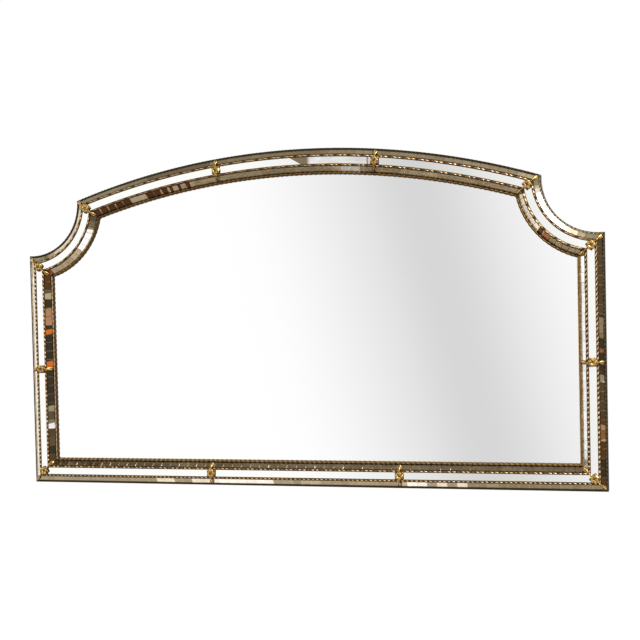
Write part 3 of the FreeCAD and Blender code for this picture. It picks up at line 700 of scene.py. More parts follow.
@dataclass(frozen=True)
class WoodFinish(Finish):
    """Stained wood, or plain board, with its grain one way."""

    light: Triple
    dark: Triple
    grain: Grain
    roughness: Pair = (0.38, 0.60)
    scale: float = 30.0
    gloss: float = 0.25

    def paint(self, nodes: Nodes) -> None:
        """Paint the grain and its clouds.

        Args:
            nodes: The material's nodes.
        """
        grain = nodes.noise(self.scale * 6, 8.0, self.grain.value)
        cloud = nodes.noise(self.scale / 4, 4.0)
        share = nodes.value("ShaderNodeClamp",
                            Value=grain.spread(-0.2, 1.4) * cloud.spread(0.7, 1.3))
        nodes.surface(Base_Color=nodes.mix(share, self.dark, self.light),
                      Roughness=grain.spread(*self.roughness),
                      Normal=nodes.bump(grain, 0.2 * MM), Specular_IOR_Level=self.gloss)


@dataclass(frozen=True)
class SteelFinish(Finish):
    """Zinc-plated steel."""

    name: str = "zinc_steel"
    light: Triple = (0.64, 0.64, 0.60)
    dark: Triple = (0.42, 0.43, 0.42)

    def paint(self, nodes: Nodes) -> None:
        """Paint the zinc's spangle.

        Args:
            nodes: The material's nodes.
        """
        spangle = nodes.value("ShaderNodeTexVoronoi", "Distance", Scale=700.0,
                              Vector=nodes.place())
        nodes.surface(Base_Color=nodes.mix(spangle.spread(0.0, 1.3), self.light, self.dark),
                      Metallic=1.0, Roughness=nodes.noise(500.0).spread(0.28, 0.45),
                      Normal=nodes.bump(nodes.noise(1800.0, 2.0), 0.08 * MM))


@dataclass(frozen=True)
class RubberFinish(Finish):
    """Matt black rubber."""

    name: str = "bumper_rubber"
    light: Triple = (0.030, 0.030, 0.031)
    dark: Triple = (0.012, 0.012, 0.012)

    def paint(self, nodes: Nodes) -> None:
        """Paint the rubber and its dust.

        Args:
            nodes: The material's nodes.
        """
        dust = nodes.noise(400.0, 4.0)
        nodes.surface(Base_Color=nodes.mix(dust, self.dark, self.light),
                      Roughness=dust.spread(0.62, 0.85),
                      Normal=nodes.bump(nodes.noise(2500.0, 2.0), 0.1 * MM))


# ---- brass lines


class WearAndShade(NamedTuple):
    """How one rail's line is worn and shaded: its lobes' dark hollows, painted shade over the
    outer side, crest and inner side of its section, its dark spots and dark joints.
    """

    lobes: float
    outer: float
    crest: float
    inner: float
    spot: float = 0.0
    joint: float = 0.9

    def at(self, turn: float) -> float:
        """The painted shade and patina at one angle round the section.

        Args:
            turn: The angle, from the inner side over the crest.

        Returns:
            The painted shade and patina.
        """
        across = math.cos(turn)
        side = self.inner if across > 0 else self.outer
        return self.crest + (side - self.crest) * abs(across) ** 0.8


@dataclass(frozen=True)
class BrassLine:
    """One brass bead or rope line round the frame, mitred at the corners."""

    name: str
    node: str
    near: float
    diameter: float
    seat_rise: float
    lobe: float
    style: LobeStyle
    finish: BrassFinish
    wear_and_shade: dict[str, WearAndShade]
    teeth_inwards: bool = True
    breadth: float = 1.0
    height: float = 1.0
    sides: int = 12
    steps_per_lobe: int = 8
    strand_offset: float = 0.42
    strand_radius: float = 0.58
    joint_every: int = 3
    joint_half: float = 0.3
    spot_half: float = 0.34
    tooth_cut: float = 0.42
    waist_cut: float = 0.05

    def surface(self, turn: float, distance: float, wear_and_shade: WearAndShade) -> Pair:
        """How far the surface stands out, and how dark its patina and painted shade are.

        Args:
            turn: Angle round the section, from the inner side over the crest.
            distance: Distance along the line.
            wear_and_shade: How this rail's line is worn and shaded.

        Returns:
            The radius as a share of the full one, and the patina and painted shade.
        """
        place = distance / self.lobe
        if self.style is LobeStyle.TWISTED:
            lean = abs(math.cos(turn - math.pi * place))
            reach = self.strand_offset * lean + math.sqrt(
                self.strand_radius ** 2 - self.strand_offset ** 2 * (1 - lean ** 2))
            joint = abs(math.remainder(place - 0.5, self.joint_every)) < self.joint_half
            # Patina and painted shade in the hollows between the strands.
            gap = min(1.0, (1.55 * (1 - lean)) ** 1.2) * wear_and_shade.lobes
            spot = wear_and_shade.spot * max(0.0, 1 - abs(math.remainder(place, 1.0)) / self.spot_half)
            # The section's painted shade, the hollows and the dark spots, with the dark joints on
            # top.
            return reach, max(gap, wear_and_shade.at(turn), spot) + (wear_and_shade.joint if joint else 0.0)
        swell = (math.remainder(place, 1.0) * 2) ** 2
        tooth = max(0.0, math.cos(turn) * (1 if self.teeth_inwards else -1))
        reach = 1 - wear_and_shade.lobes * (self.tooth_cut * tooth + self.waist_cut) * swell
        # The section's painted shade, with patina and painted shade in each scallop's waist and
        # tooth.
        return min(1.0, reach), wear_and_shade.at(turn) + wear_and_shade.lobes * (0.45 + 0.3 * tooth) * swell

    def build(self) -> Piece:
        """Build the line in one mesh.

        Returns:
            The piece.
        """
        bm = bmesh.new()
        layer = bm.verts.layers.float.new("patina_and_shade")
        half_breadth = self.diameter / 2 * self.breadth
        half_height = self.diameter / 2 * self.height
        center = self.near + half_breadth
        for rail in RAILS.values():
            length = rail.length(center)
            steps = max(2, round(length / self.lobe * self.steps_per_lobe))
            for vert in new_rod(bm, self.sides, steps):
                turn = math.atan2(vert.co.y, vert.co.x)
                share = vert.co.z
                reach, patina_and_shade = self.surface(turn, share * length, self.wear_and_shade[rail.name])
                depth = center + math.cos(turn) * half_breadth * reach
                rise = self.seat_rise + half_height + math.sin(turn) * half_height * reach
                # Painted shade on the half of the section that faces the back plane.
                vert[layer] = max(patina_and_shade, -0.8 * math.sin(turn), 0.0)
                vert.co = rail.point(depth, rail.station_at(share, depth), rise)
        return seat(bm, self.name, self.finish.make(), self.node)


# ---- tiles


class Stretch(NamedTuple):
    """A few neighbouring tiles of one colour, and the colour and share of their far ends: a
    second painted reflection, or on some tiles a painted highlight.
    """

    count: int
    tint_and_reflection: TileTintAndReflection
    end_share: float = 0.0
    end_reflection: TileTintAndReflection = TileTintAndReflection.SAND


@dataclass(frozen=True)
class TileBand:
    """The mosaic tiles on one slope of one rail."""

    rail: Rail
    outer: bool
    stretches: tuple[Stretch, ...]
    thickness: float = 2 * MM
    bedding: float = 0.33 * MM
    joint: float = 0.35 * MM
    margin: float = 0.4 * MM
    pitch: float = 21 * MM
    bottom_pitch: float = 23 * MM
    notch_pitch: float = 15.6 * MM
    edge: float = 0.35 * MM
    wobble: float = 0.12 * MM
    inner_cover: float = 2.2 * MM
    shades: Pair = (0.90, 1.10)

    def slope(self) -> tuple[float, float, float, float]:
        """Depths and rises of the band's two sides.

        Returns:
            Both depths, then both rises.
        """
        if self.outer:
            return SIZES.outer_bead, SIZES.outer_rope_depth, SIZES.outer_seat, SIZES.flat_rise
        return (SIZES.inner_band_depth, SIZES.inner_bead_depth, SIZES.flat_rise,
                SIZES.inner_seat)

    def count(self) -> int:
        """Number of tiles on the band.

        Returns:
            The number.
        """
        near, far, _, _ = self.slope()
        pitch = self.pitch
        if self.rail.name == "bottom":
            pitch = self.bottom_pitch
        elif self.rail.name.endswith("notch"):
            pitch = self.notch_pitch
        return round(self.rail.length((near + far) / 2) / pitch)

    def build(self, material: Material, draw: random.Random) -> Piece:
        """Build every tile of the band in one mesh.

        Args:
            material: The tiles' finish.
            draw: Source of the small differences between tiles.

        Returns:
            The piece.
        """
        bm = bmesh.new()
        colors = bm.loops.layers.float_color
        layers = (colors.new("tint_and_reflection"), colors.new("end_reflection"), bm.loops.layers.uv.new("tile"))
        tints_and_reflections = [stretch for stretch in self.stretches for _ in range(stretch.count)]
        count = self.count()
        for index in range(count):
            self.add_tile(bm, layers, index, count, tints_and_reflections[min(index, len(tints_and_reflections) - 1)], draw)
        node = f"{self.rail.name}_{'outer' if self.outer else 'inner'}_tiles"
        return seat(bm, f"mosaic_{node}", material, node, smooth=False)

    def add_tile(self, bm: BMesh, layers: tuple[object, ...], index: int, count: int,
                 look: Stretch, draw: random.Random) -> None:
        """Add one bevelled tile.

        Args:
            bm: The mesh to add to.
            layers: Where the tile's two colours, with their painted reflections, and its own
                coordinates go.
            index: The tile's number along the rail.
            count: Number of tiles on the rail.
            look: The tile's tints and painted reflections.
            draw: Source of the small differences between tiles.
        """
        near, far, near_rise, far_rise = self.slope()
        grade = (far_rise - near_rise) / (far - near)
        lift = math.hypot(1.0, grade)
        rail = self.rail
        middle = (near + far) / 2
        gap = self.joint / 2 / (rail.radius + rail.growth * middle if rail.round else 1.0)
        center = rail.station_at((index + 0.5) / count, middle)
        origin = rail.point(near, center)
        inward = rail.inward_at(center)
        rolls = [draw.uniform(0.0, self.wobble) for _ in range(4)]

        def station(depth: float, side: int) -> float:
            """Station of one side of the tile: mitred at the rail's ends, square elsewhere.

            Args:
                depth: Distance from the outer edge.
                side: 0 for the first side, 1 for the last one.

            Returns:
                The station.
            """
            mitred = index + side in (0, count)
            base = (rail.end(side, depth) if mitred
                    else rail.station_at((index + side) / count, middle))
            return base + (-gap if side else gap)

        cube = bmesh.ops.create_cube(bm, size=1.0)["verts"]
        reaches = (near + self.margin,
                   far + (0.0 if self.outer else self.inner_cover) - self.margin)
        for vert in cube:
            side, inner = int(vert.co.x > 0), int(vert.co.y > 0)
            plan = rail.point(reaches[inner], station(reaches[inner], side))
            rise = near_rise + self.bedding + grade * (plan - origin).dot(inward)
            if vert.co.z > 0:
                rise += (self.thickness - rolls[side * 2 + inner]) * lift
            vert.co = plan + ROOM * rise
        faces = list({face for vert in cube for face in vert.link_faces})
        edges = list({edge for face in faces for edge in face.edges})
        bevelled = bmesh.ops.bevel(bm, geom=edges, offset=self.edge, offset_type="OFFSET",
                                   affect="EDGES", segments=1, profile=0.5, material=-1)
        shade = draw.uniform(*self.shades)
        color = (*(part * shade for part in look.tint_and_reflection.value), look.end_share)
        end_color = (*look.end_reflection.value, 1.0)
        first, last = (rail.point(middle, station(middle, side)) for side in (0, 1))
        along = (last - first) / (last - first).length_squared
        tint_and_reflection_layer, end_layer, place_layer = layers
        for face in {face for vert in bevelled["verts"] for face in vert.link_faces} | {
                face for face in faces if face.is_valid}:
            for loop in face.loops:
                loop[tint_and_reflection_layer] = color
                loop[end_layer] = end_color
                loop[place_layer].uv = ((loop.vert.co - first).dot(along),
                                        (loop.vert.co - origin).dot(inward) / (far - near))


# ---- roses


class Petal(NamedTuple):
    """One petal's shape: where it starts, its size, how it leans and how it is curled."""

    start: float
    length: float
    width: float
    lean_deg: float
    base: float
    cup: float
    curl: float


@dataclass(frozen=True)
class Rose:
    """One cast brass ornament: an open rose, four leaves, a stem and two buds.

    It is drawn round its own middle: X points to the frame's outer edge, Z towards the room.
    """

    node: str
    place: Vector
    outward: Vector
    stretch: float
    rings: tuple[tuple[int, Petal], ...] = (
        (6, Petal(3.8 * MM, 7.2 * MM, 10.6 * MM, -25.0, 38.7 * MM, 0.50 * MM, -0.50 * MM)),
        (5, Petal(2.9 * MM, 5.2 * MM, 8.6 * MM, 2.0, 38.9 * MM, 0.70 * MM, -0.60 * MM)),
        (4, Petal(2.1 * MM, 2.7 * MM, 5.6 * MM, 36.0, 38.4 * MM, 0.40 * MM, -0.30 * MM)),
    )
    ring_turn: float = 0.63
    petal_jitter: float = 0.08
    sheet: float = 0.6 * MM
    crest: float = 35.3 * MM
    top: float = 40.5 * MM
    leaf_length: float = 8.0 * MM
    leaf_width: float = 6.0 * MM
    leaf_start: float = 4.5 * MM
    leaf_turns: tuple[float, ...] = (52.0, 128.0, 232.0, 308.0)
    leaf_jitter: float = 6.0
    bud_width: float = 10.4 * MM
    bud_height: float = 5.6 * MM
    bud_profile: tuple[Pair, ...] = (
        (0.0, 0.24), (0.16, 0.40), (0.38, 0.80), (0.62, 1.0), (0.86, 0.97), (1.0, 0.82),
        (0.97, 0.60), (0.84, 0.42), (0.74, 0.12))
    hollow_from: int = 5
    stem_width: float = 2.1 * MM
    stem_height: float = 1.2 * MM
    knots: int = 9

    def turn_about(self, bm: BMesh, verts: list[BMVert], turn: float) -> None:
        """Thicken a leaf or petal and turn it about the rose's middle.

        Args:
            bm: The mesh that it is in.
            verts: Its vertices.
            turn: Its direction round the rose.
        """
        faces = list({face for vert in verts for face in vert.link_faces})
        solid = bmesh.ops.solidify(bm, geom=faces, thickness=self.sheet)
        moved = set(verts) | {item for item in solid["geom"] if isinstance(item, BMVert)}
        for vert in moved:
            vert.co.z = min(vert.co.z, self.top)
        bmesh.ops.rotate(bm, cent=Vector(), matrix=Matrix.Rotation(turn, 3, "Z"),
                         verts=list(moved))

    def petal(self, bm: BMesh, layer: object, turn: float, shape: Petal) -> None:
        """Add one cupped petal.

        Args:
            bm: The mesh to add to.
            layer: Where the patina and painted shade go.
            turn: Its direction round the rose.
            shape: Its shape.
        """
        verts = bmesh.ops.create_grid(bm, x_segments=7, y_segments=8, size=0.5)["verts"]
        lean = math.radians(shape.lean_deg)
        for vert in verts:
            run, aside = vert.co.x + 0.5, vert.co.y * 2
            spread = math.sin(math.pi * (0.13 + 0.62 * run)) ** 0.8
            reach = run * (1 - 0.26 * aside ** 2 * run)
            ripple = 0.22 * MM * math.cos(3.2 * aside) * run ** 2
            # Painted shade, with patina: darker towards the petal's foot deep in the rose, and at
            # its sides and tip.
            vert[layer] = max(0.0, 1.1 - 2.4 * run) + 0.7 * abs(aside) ** 6 + 0.25 * run ** 6
            vert.co = Vector((shape.start + shape.length * reach * math.cos(lean),
                              aside * shape.width / 2 * spread,
                              shape.base + shape.length * reach * math.sin(lean)
                              + shape.cup * aside ** 2 * (0.3 + 0.7 * run)
                              + shape.curl * run ** 3 + ripple))
        self.turn_about(bm, verts, turn)

    def leaf(self, bm: BMesh, layer: object, turn: float) -> None:
        """Add one toothed leaf with a raised midrib, over a rope.

        Args:
            bm: The mesh to add to.
            layer: Where the patina and painted shade go.
            turn: Its direction round the rose.
        """
        teeth = 12
        verts = bmesh.ops.create_grid(bm, x_segments=teeth, y_segments=4, size=0.5)["verts"]
        for vert in verts:
            run, aside = vert.co.x + 0.5, vert.co.y * 2
            tooth = 1.0 + 0.16 * (round(run * teeth) % 2) * (1 - run)
            spread = math.sin(math.pi * min(1.0, 0.12 + run * 0.88)) ** 0.8 * tooth
            rib = 0.9 * MM * (1 - abs(aside)) * (1 - 0.6 * run)
            curl = 1.2 * MM * run * (1 - run) * 4 - 0.4 * MM * run ** 2
            # The leaf is darker all over than the petals' crests, and darker still at its edges
            # near its foot.
            vert[layer] = 0.35 + 0.45 * abs(aside) * (1 - run)
            vert.co = Vector((self.leaf_start + self.leaf_length * run,
                              aside * self.leaf_width / 2 * spread,
                              self.crest + 0.4 * MM + rib + curl))
        self.turn_about(bm, verts, turn)

    def bud(self, bm: BMesh, layer: object, root: Pair, tip: Pair) -> None:
        """Add one opening bud on a tile band, its hollow away from the rose.

        Args:
            bm: The mesh to add to.
            layer: Where the patina and painted shade go.
            root: Reach and rise of its stem end.
            tip: Reach and rise of its open end.
        """
        spans = len(self.bud_profile) - 1
        start = Vector((root[0], 0.0, root[1]))
        axis = Vector((tip[0] - root[0], 0.0, tip[1] - root[1]))
        upright = Y_AXIS.cross(axis).normalized()
        if upright.z < 0:
            upright.negate()
        for vert in new_rod(bm, 20, spans * 2):
            step = min(spans - 1, int(vert.co.z * spans))
            share = vert.co.z * spans - step
            (along_a, wide_a), (along_b, wide_b) = self.bud_profile[step:step + 2]
            along = along_a + (along_b - along_a) * share
            lobe = abs(math.cos(math.atan2(vert.co.y, vert.co.x) * 2.5)) ** 0.6
            # Painted shade: the bud's hollow is dark, and so are the furrows between its lobes
            # and its stem end.
            vert[layer] = (1.0 if step >= self.hollow_from
                           else 0.85 * (1 - lobe) + 0.5 * max(0.0, 0.3 - along))
            wide = (wide_a + (wide_b - wide_a) * share) * (0.86 + 0.14 * lobe)
            vert.co = (start + axis * along
                       + Vector((0.0, vert.co.x * wide * self.bud_width / 2, 0.0))
                       + upright * (vert.co.y * wide * self.bud_height / 2))

    def stem(self, bm: BMesh, layer: object, path: tuple[Pair, ...]) -> None:
        """Add the knotted stem that lies over both ropes.

        Args:
            bm: The mesh to add to.
            layer: Where the patina and painted shade go.
            path: Points of reach and rise, from the inner bud to the outer one.
        """
        lengths = [math.dist(a, b) for a, b in zip(path, path[1:])]
        for vert in new_rod(bm, 10, 40):
            left = vert.co.z * sum(lengths)
            for (a, b), length in zip(zip(path, path[1:]), lengths):
                if left <= length + 1e-9:
                    break
                left -= length
            share = min(1.0, left / length)
            knot = 0.5 + 0.5 * math.cos(vert.co.z * math.tau * self.knots)
            thick = 0.75 + 0.25 * knot
            # Patina and painted shade between the stem's knots.
            vert[layer] = 0.7 * (1 - knot)
            vert.co = Vector((
                a[0] + (b[0] - a[0]) * share, vert.co.x * self.stem_width * thick,
                a[1] + (b[1] - a[1]) * share + vert.co.y * self.stem_height * thick))

    def arms(self, bm: BMesh, layer: object) -> None:
        """Add the stem and the two buds.

        Args:
            bm: The mesh to add to.
            layer: Where the patina and painted shade go.
        """
        half = SIZES.strip / 2 + SIZES.rope
        valley = SIZES.inner_drop / SIZES.inner_band * self.bud_width / 2 * math.sqrt(
            1 - 1 / self.stretch ** 2)
        crest = self.crest + 1.1 * MM
        edge = half * self.stretch
        outer_root = (edge - 0.8 * MM, crest - 0.4 * MM)
        inner_root = (-edge + 0.8 * MM, crest - 0.2 * MM)
        self.bud(bm, layer, outer_root, ((half + SIZES.outer_band - 0.7 * MM) * self.stretch,
                                         SIZES.outer_seat + 5.2 * MM))
        self.bud(bm, layer, inner_root, (-(half + SIZES.inner_band - 0.9 * MM) * self.stretch,
                                         SIZES.inner_seat + 6.0 * MM + valley))
        self.stem(bm, layer, (inner_root, (-edge * 0.5, crest + 0.2 * MM),
                              (edge * 0.5, crest + 0.2 * MM), outer_root))

    def foot(self, bm: BMesh, layer: object) -> None:
        """Add the foot that stands on the mirror strip under the petals.

        Args:
            bm: The mesh to add to.
            layer: Where the patina and painted shade go.
        """
        floor = SIZES.flat_rise + SIZES.strip_thickness
        for vert in new_rod(bm, 16, 4):
            reach = 5.6 - 1.2 * vert.co.z
            # Painted shade, with patina: the foot, seen as the pit in the rose's middle, is dark
            # all over.
            vert[layer] = 1.0
            vert.co = Vector((vert.co.x * reach * MM, vert.co.y * reach * MM,
                              floor + vert.co.z * (self.crest + 2.0 * MM - floor)))

    def build(self, material: Material, draw: random.Random) -> Piece:
        """Build the ornament at its place.

        Args:
            material: Its finish.
            draw: Source of the small differences between ornaments.

        Returns:
            The piece.
        """
        bm = bmesh.new()
        layer = bm.verts.layers.float.new("patina_and_shade")
        start = draw.uniform(0.0, math.tau)
        for row, (count, shape) in enumerate(self.rings):
            for number in range(count):
                jitter = draw.uniform(-self.petal_jitter, self.petal_jitter)
                turn = start + row * self.ring_turn + jitter + math.tau * number / count
                self.petal(bm, layer, turn, shape)
        for turn_deg in self.leaf_turns:
            jitter = draw.uniform(-self.leaf_jitter, self.leaf_jitter)
            self.leaf(bm, layer, math.radians(turn_deg + jitter))
        self.arms(bm, layer)
        self.foot(bm, layer)
        axes = Matrix((self.outward, ROOM.cross(self.outward), ROOM)).transposed().to_4x4()
        bmesh.ops.transform(bm, matrix=Matrix.Translation(self.place) @ axes, verts=bm.verts)
        return seat(bm, f"brass_{self.node}", material, self.node)


def rose_places() -> Iterator[Rose]:
    """The twelve ornaments.

    Yields:
        Each ornament at its place.
    """
    depth = SIZES.rose_depth
    arch, bottom = RAILS["top_arch"], RAILS["bottom"]
    arch_turn = math.asin(SIZES.half_width * 0.276 / (SIZES.arch_radius - depth))
    stile_height = Corner.SHOULDER.at(1, 0.0).z * 0.5
    stations = (
        ("arch_left", arch, arch.middle + arch_turn),
        ("arch_right", arch, arch.middle - arch_turn),
        ("bottom_left", bottom, SIZES.half_width * -0.3205),
        ("bottom_right", bottom, SIZES.half_width * 0.3365),
        ("left_stile", RAILS["left_stile"], stile_height),
        ("right_stile", RAILS["right_stile"], stile_height),
    )
    for name, rail, station in stations:
        yield Rose(f"{name}_rose", rail.point(depth, station), rail.inward_at(station) * -1,
                   1.0)
    for side, hand in SIDES:
        for corner in Corner:
            across = (corner.at(hand, SIZES.outer_rope_depth)
                      - corner.at(hand, SIZES.inner_band_depth))
            stretch = across.length / (SIZES.inner_band_depth - SIZES.outer_rope_depth)
            yield Rose(f"{side}_{corner.value}_rose", corner.at(hand, depth),
                       across.normalized(), stretch)


# ---- glass, wood and hangers


@dataclass(frozen=True)
class Glazing:
    """The main plate and the mirror strips: CAD nodes with a silvered finish."""

    silver: Triple = (0.940, 0.938, 0.915)
    aging: float = 0.25
    ripple: float = 0.06 * MM

    def dress(self) -> None:
        """Give each sheet of glass its finish."""
        dress("main_mirror", MirrorFinish().make())
        worn = {"silver": self.silver, "aging": self.aging, "ripple": self.ripple}
        strip = MirrorFinish("silvered_strip", **worn).make()
        reflection_painted = PaintedReflectionMirrorFinish("reflection_painted_strip", **worn).make()
        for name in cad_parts:
            if name.endswith("_mirror_strip"):
                dress(name, reflection_painted if name == "arch_middle_mirror_strip" else strip)


@dataclass(frozen=True)
class Carcass:
    """The wooden rails, the back board and the bumpers: CAD nodes with better finishes."""

    stain: tuple[Triple, Triple] = ((0.080, 0.043, 0.017), (0.026, 0.014, 0.005))
    board: tuple[Triple, Triple] = ((0.32, 0.20, 0.11), (0.20, 0.12, 0.06))

    def dress(self) -> None:
        """Give each of them its finish."""
        across = WoodFinish("stained_wood_across", *self.stain, Grain.ACROSS).make()
        upright = WoodFinish("stained_wood_upright", *self.stain, Grain.UPRIGHT).make()
        board = WoodFinish("hardboard", *self.board, Grain.ACROSS, (0.62, 0.85), 90.0)
        dress("back_board", board.make())
        dress("wall_bumpers", RubberFinish().make())
        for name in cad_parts:
            if name in ("left_stile", "right_stile"):
                dress(name, upright)
            elif name.endswith("_rail"):
                dress(name, across)


@dataclass(frozen=True)
class ScrewSet:
    """A set of pan-head screws, each with a round recess in its head."""

    node: str
    places: tuple[Vector, ...]
    seat_back: float
    shank_length: float = 9 * MM
    shank_radius: float = 1.45 * MM
    head_radius: float = 3.4 * MM
    head_height: float = 1.75 * MM
    dome: float = 1.15
    rim: float = 0.35 * MM
    recess: float = 0.5 * MM

    def build(self, material: Material, draw: random.Random) -> Piece:
        """Build the screws in one mesh.

        Args:
            material: Their finish.
            draw: Source of their turns.

        Returns:
            The piece.
        """
        bm = bmesh.new()
        for place in self.places:
            self.add_screw(bm, place, draw.uniform(0.0, math.tau))
        return seat(bm, f"steel_{self.node}", material, self.node,
                    smooth=False)

    def add_screw(self, bm: BMesh, place: Vector, turn: float) -> None:
        """Add one screw, its head towards the wall.

        Args:
            bm: The mesh to add to.
            place: Where it stands, seen from the front.
            turn: How far it is turned in.
        """
        base = (Matrix.Translation(Vector((place.x, self.seat_back, place.z)))
                @ Matrix.Rotation(-math.pi / 2, 4, "X") @ Matrix.Rotation(turn, 4, "Z"))
        head = new_rod(bm, 20, 4)
        for vert in head:
            reach = self.head_radius * math.cos(vert.co.z * self.dome)
            height = self.head_height * math.sin(vert.co.z * self.dome) / math.sin(self.dome)
            vert.co = base @ Vector((vert.co.x * reach, vert.co.y * reach, height))
        for vert in new_rod(bm, 10, 1):
            vert.co = base @ Vector((vert.co.x * self.shank_radius,
                                     vert.co.y * self.shank_radius,
                                     -vert.co.z * self.shank_length))
        cap = max({face for vert in head for face in vert.link_faces},
                  key=lambda face: face.calc_center_median().y)
        bmesh.ops.inset_region(bm, faces=[cap], thickness=self.rim, depth=0.0)
        bmesh.ops.translate(bm, verts=list(cap.verts), vec=ROOM * self.recess)


@dataclass(frozen=True)
class HangerRing:
    """A D-shaped ring of round wire in its strap's barrel."""

    side: str
    center: Vector
    wire: float = 1.45 * MM
    wire_sides: int = 12
    half: float = 11.5 * MM
    knee: float = 3 * MM
    drop: float = 2 * MM
    knee_steps: int = 6
    bow_steps: int = 28

    def path(self) -> list[Vector]:
        """The closed line of the wire, clockwise from the middle of the bar.

        Returns:
            Its points.
        """
        points = [Vector()]
        right = self.half - self.knee
        arcs = ((right, -self.knee, self.knee, math.pi / 2, 0.0, self.knee_steps),
                (0.0, -self.knee - self.drop, self.half, 0.0, -math.pi, self.bow_steps),
                (-right, -self.knee, self.knee, math.pi, math.pi / 2, self.knee_steps))
        for x, z, radius, first, last, steps in arcs:
            for step in range(steps + 1):
                turn = first + (last - first) * step / steps
                points.append(Vector((x, 0.0, z)) + heading(turn) * radius)
        return points

    def build(self, material: Material) -> Piece:
        """Build the ring from a round section carried along its line.

        Args:
            material: Its finish.

        Returns:
            The piece.
        """
        path = self.path()
        bm = bmesh.new()
        rings = []
        for index, point in enumerate(path):
            along = (path[(index + 1) % len(path)] - path[index - 1]).normalized()
            turned = Matrix((Y_AXIS.cross(along), Y_AXIS, along)).transposed().to_4x4()
            made = bmesh.ops.create_circle(
                bm, cap_ends=False, segments=self.wire_sides, radius=self.wire,
                matrix=Matrix.Translation(self.center + point) @ turned)
            rings.append(list({edge for vert in made["verts"] for edge in vert.link_edges}))
        for first, second in zip(rings, rings[1:] + rings[:1]):
            bmesh.ops.bridge_loops(bm, edges=first + second)
        node = f"{self.side}_hanger_ring"
        return seat(bm, f"steel_{node}", material, node, f"{self.side}_ring")


@dataclass(frozen=True)
class Hangers:
    """Both hanger straps, with their screws and rings."""

    screw_drops: Pair = (24 * MM, 38 * MM)
    screw_length: float = 8 * MM
    strap_back: float = 1.2 * MM
    ring_back: float = 3.1 * MM

    def build(self, material: Material, draw: random.Random) -> None:
        """Build the screws and the rings, and dress the straps.

        Args:
            material: Their finish.
            draw: Source of the screws' turns.
        """
        x = SIZES.half_width - SIZES.hanger_inset
        z = SIZES.crown_height - SIZES.hanger_drop
        places = tuple(Vector((hand * x, 0.0, z - drop)) for _, hand in SIDES
                       for drop in self.screw_drops)
        ScrewSet("hanger_screws", places, self.strap_back,
                 self.screw_length).build(material, draw)
        for side, hand in SIDES:
            HangerRing(side, Vector((hand * x, self.ring_back, z))).build(material)
            dress(f"{side}_hanger_strap", material)


# ---- studio


class Lamp(NamedTuple):
    """A soft square lamp."""

    name: str
    place: Triple
    size: float
    watts: float


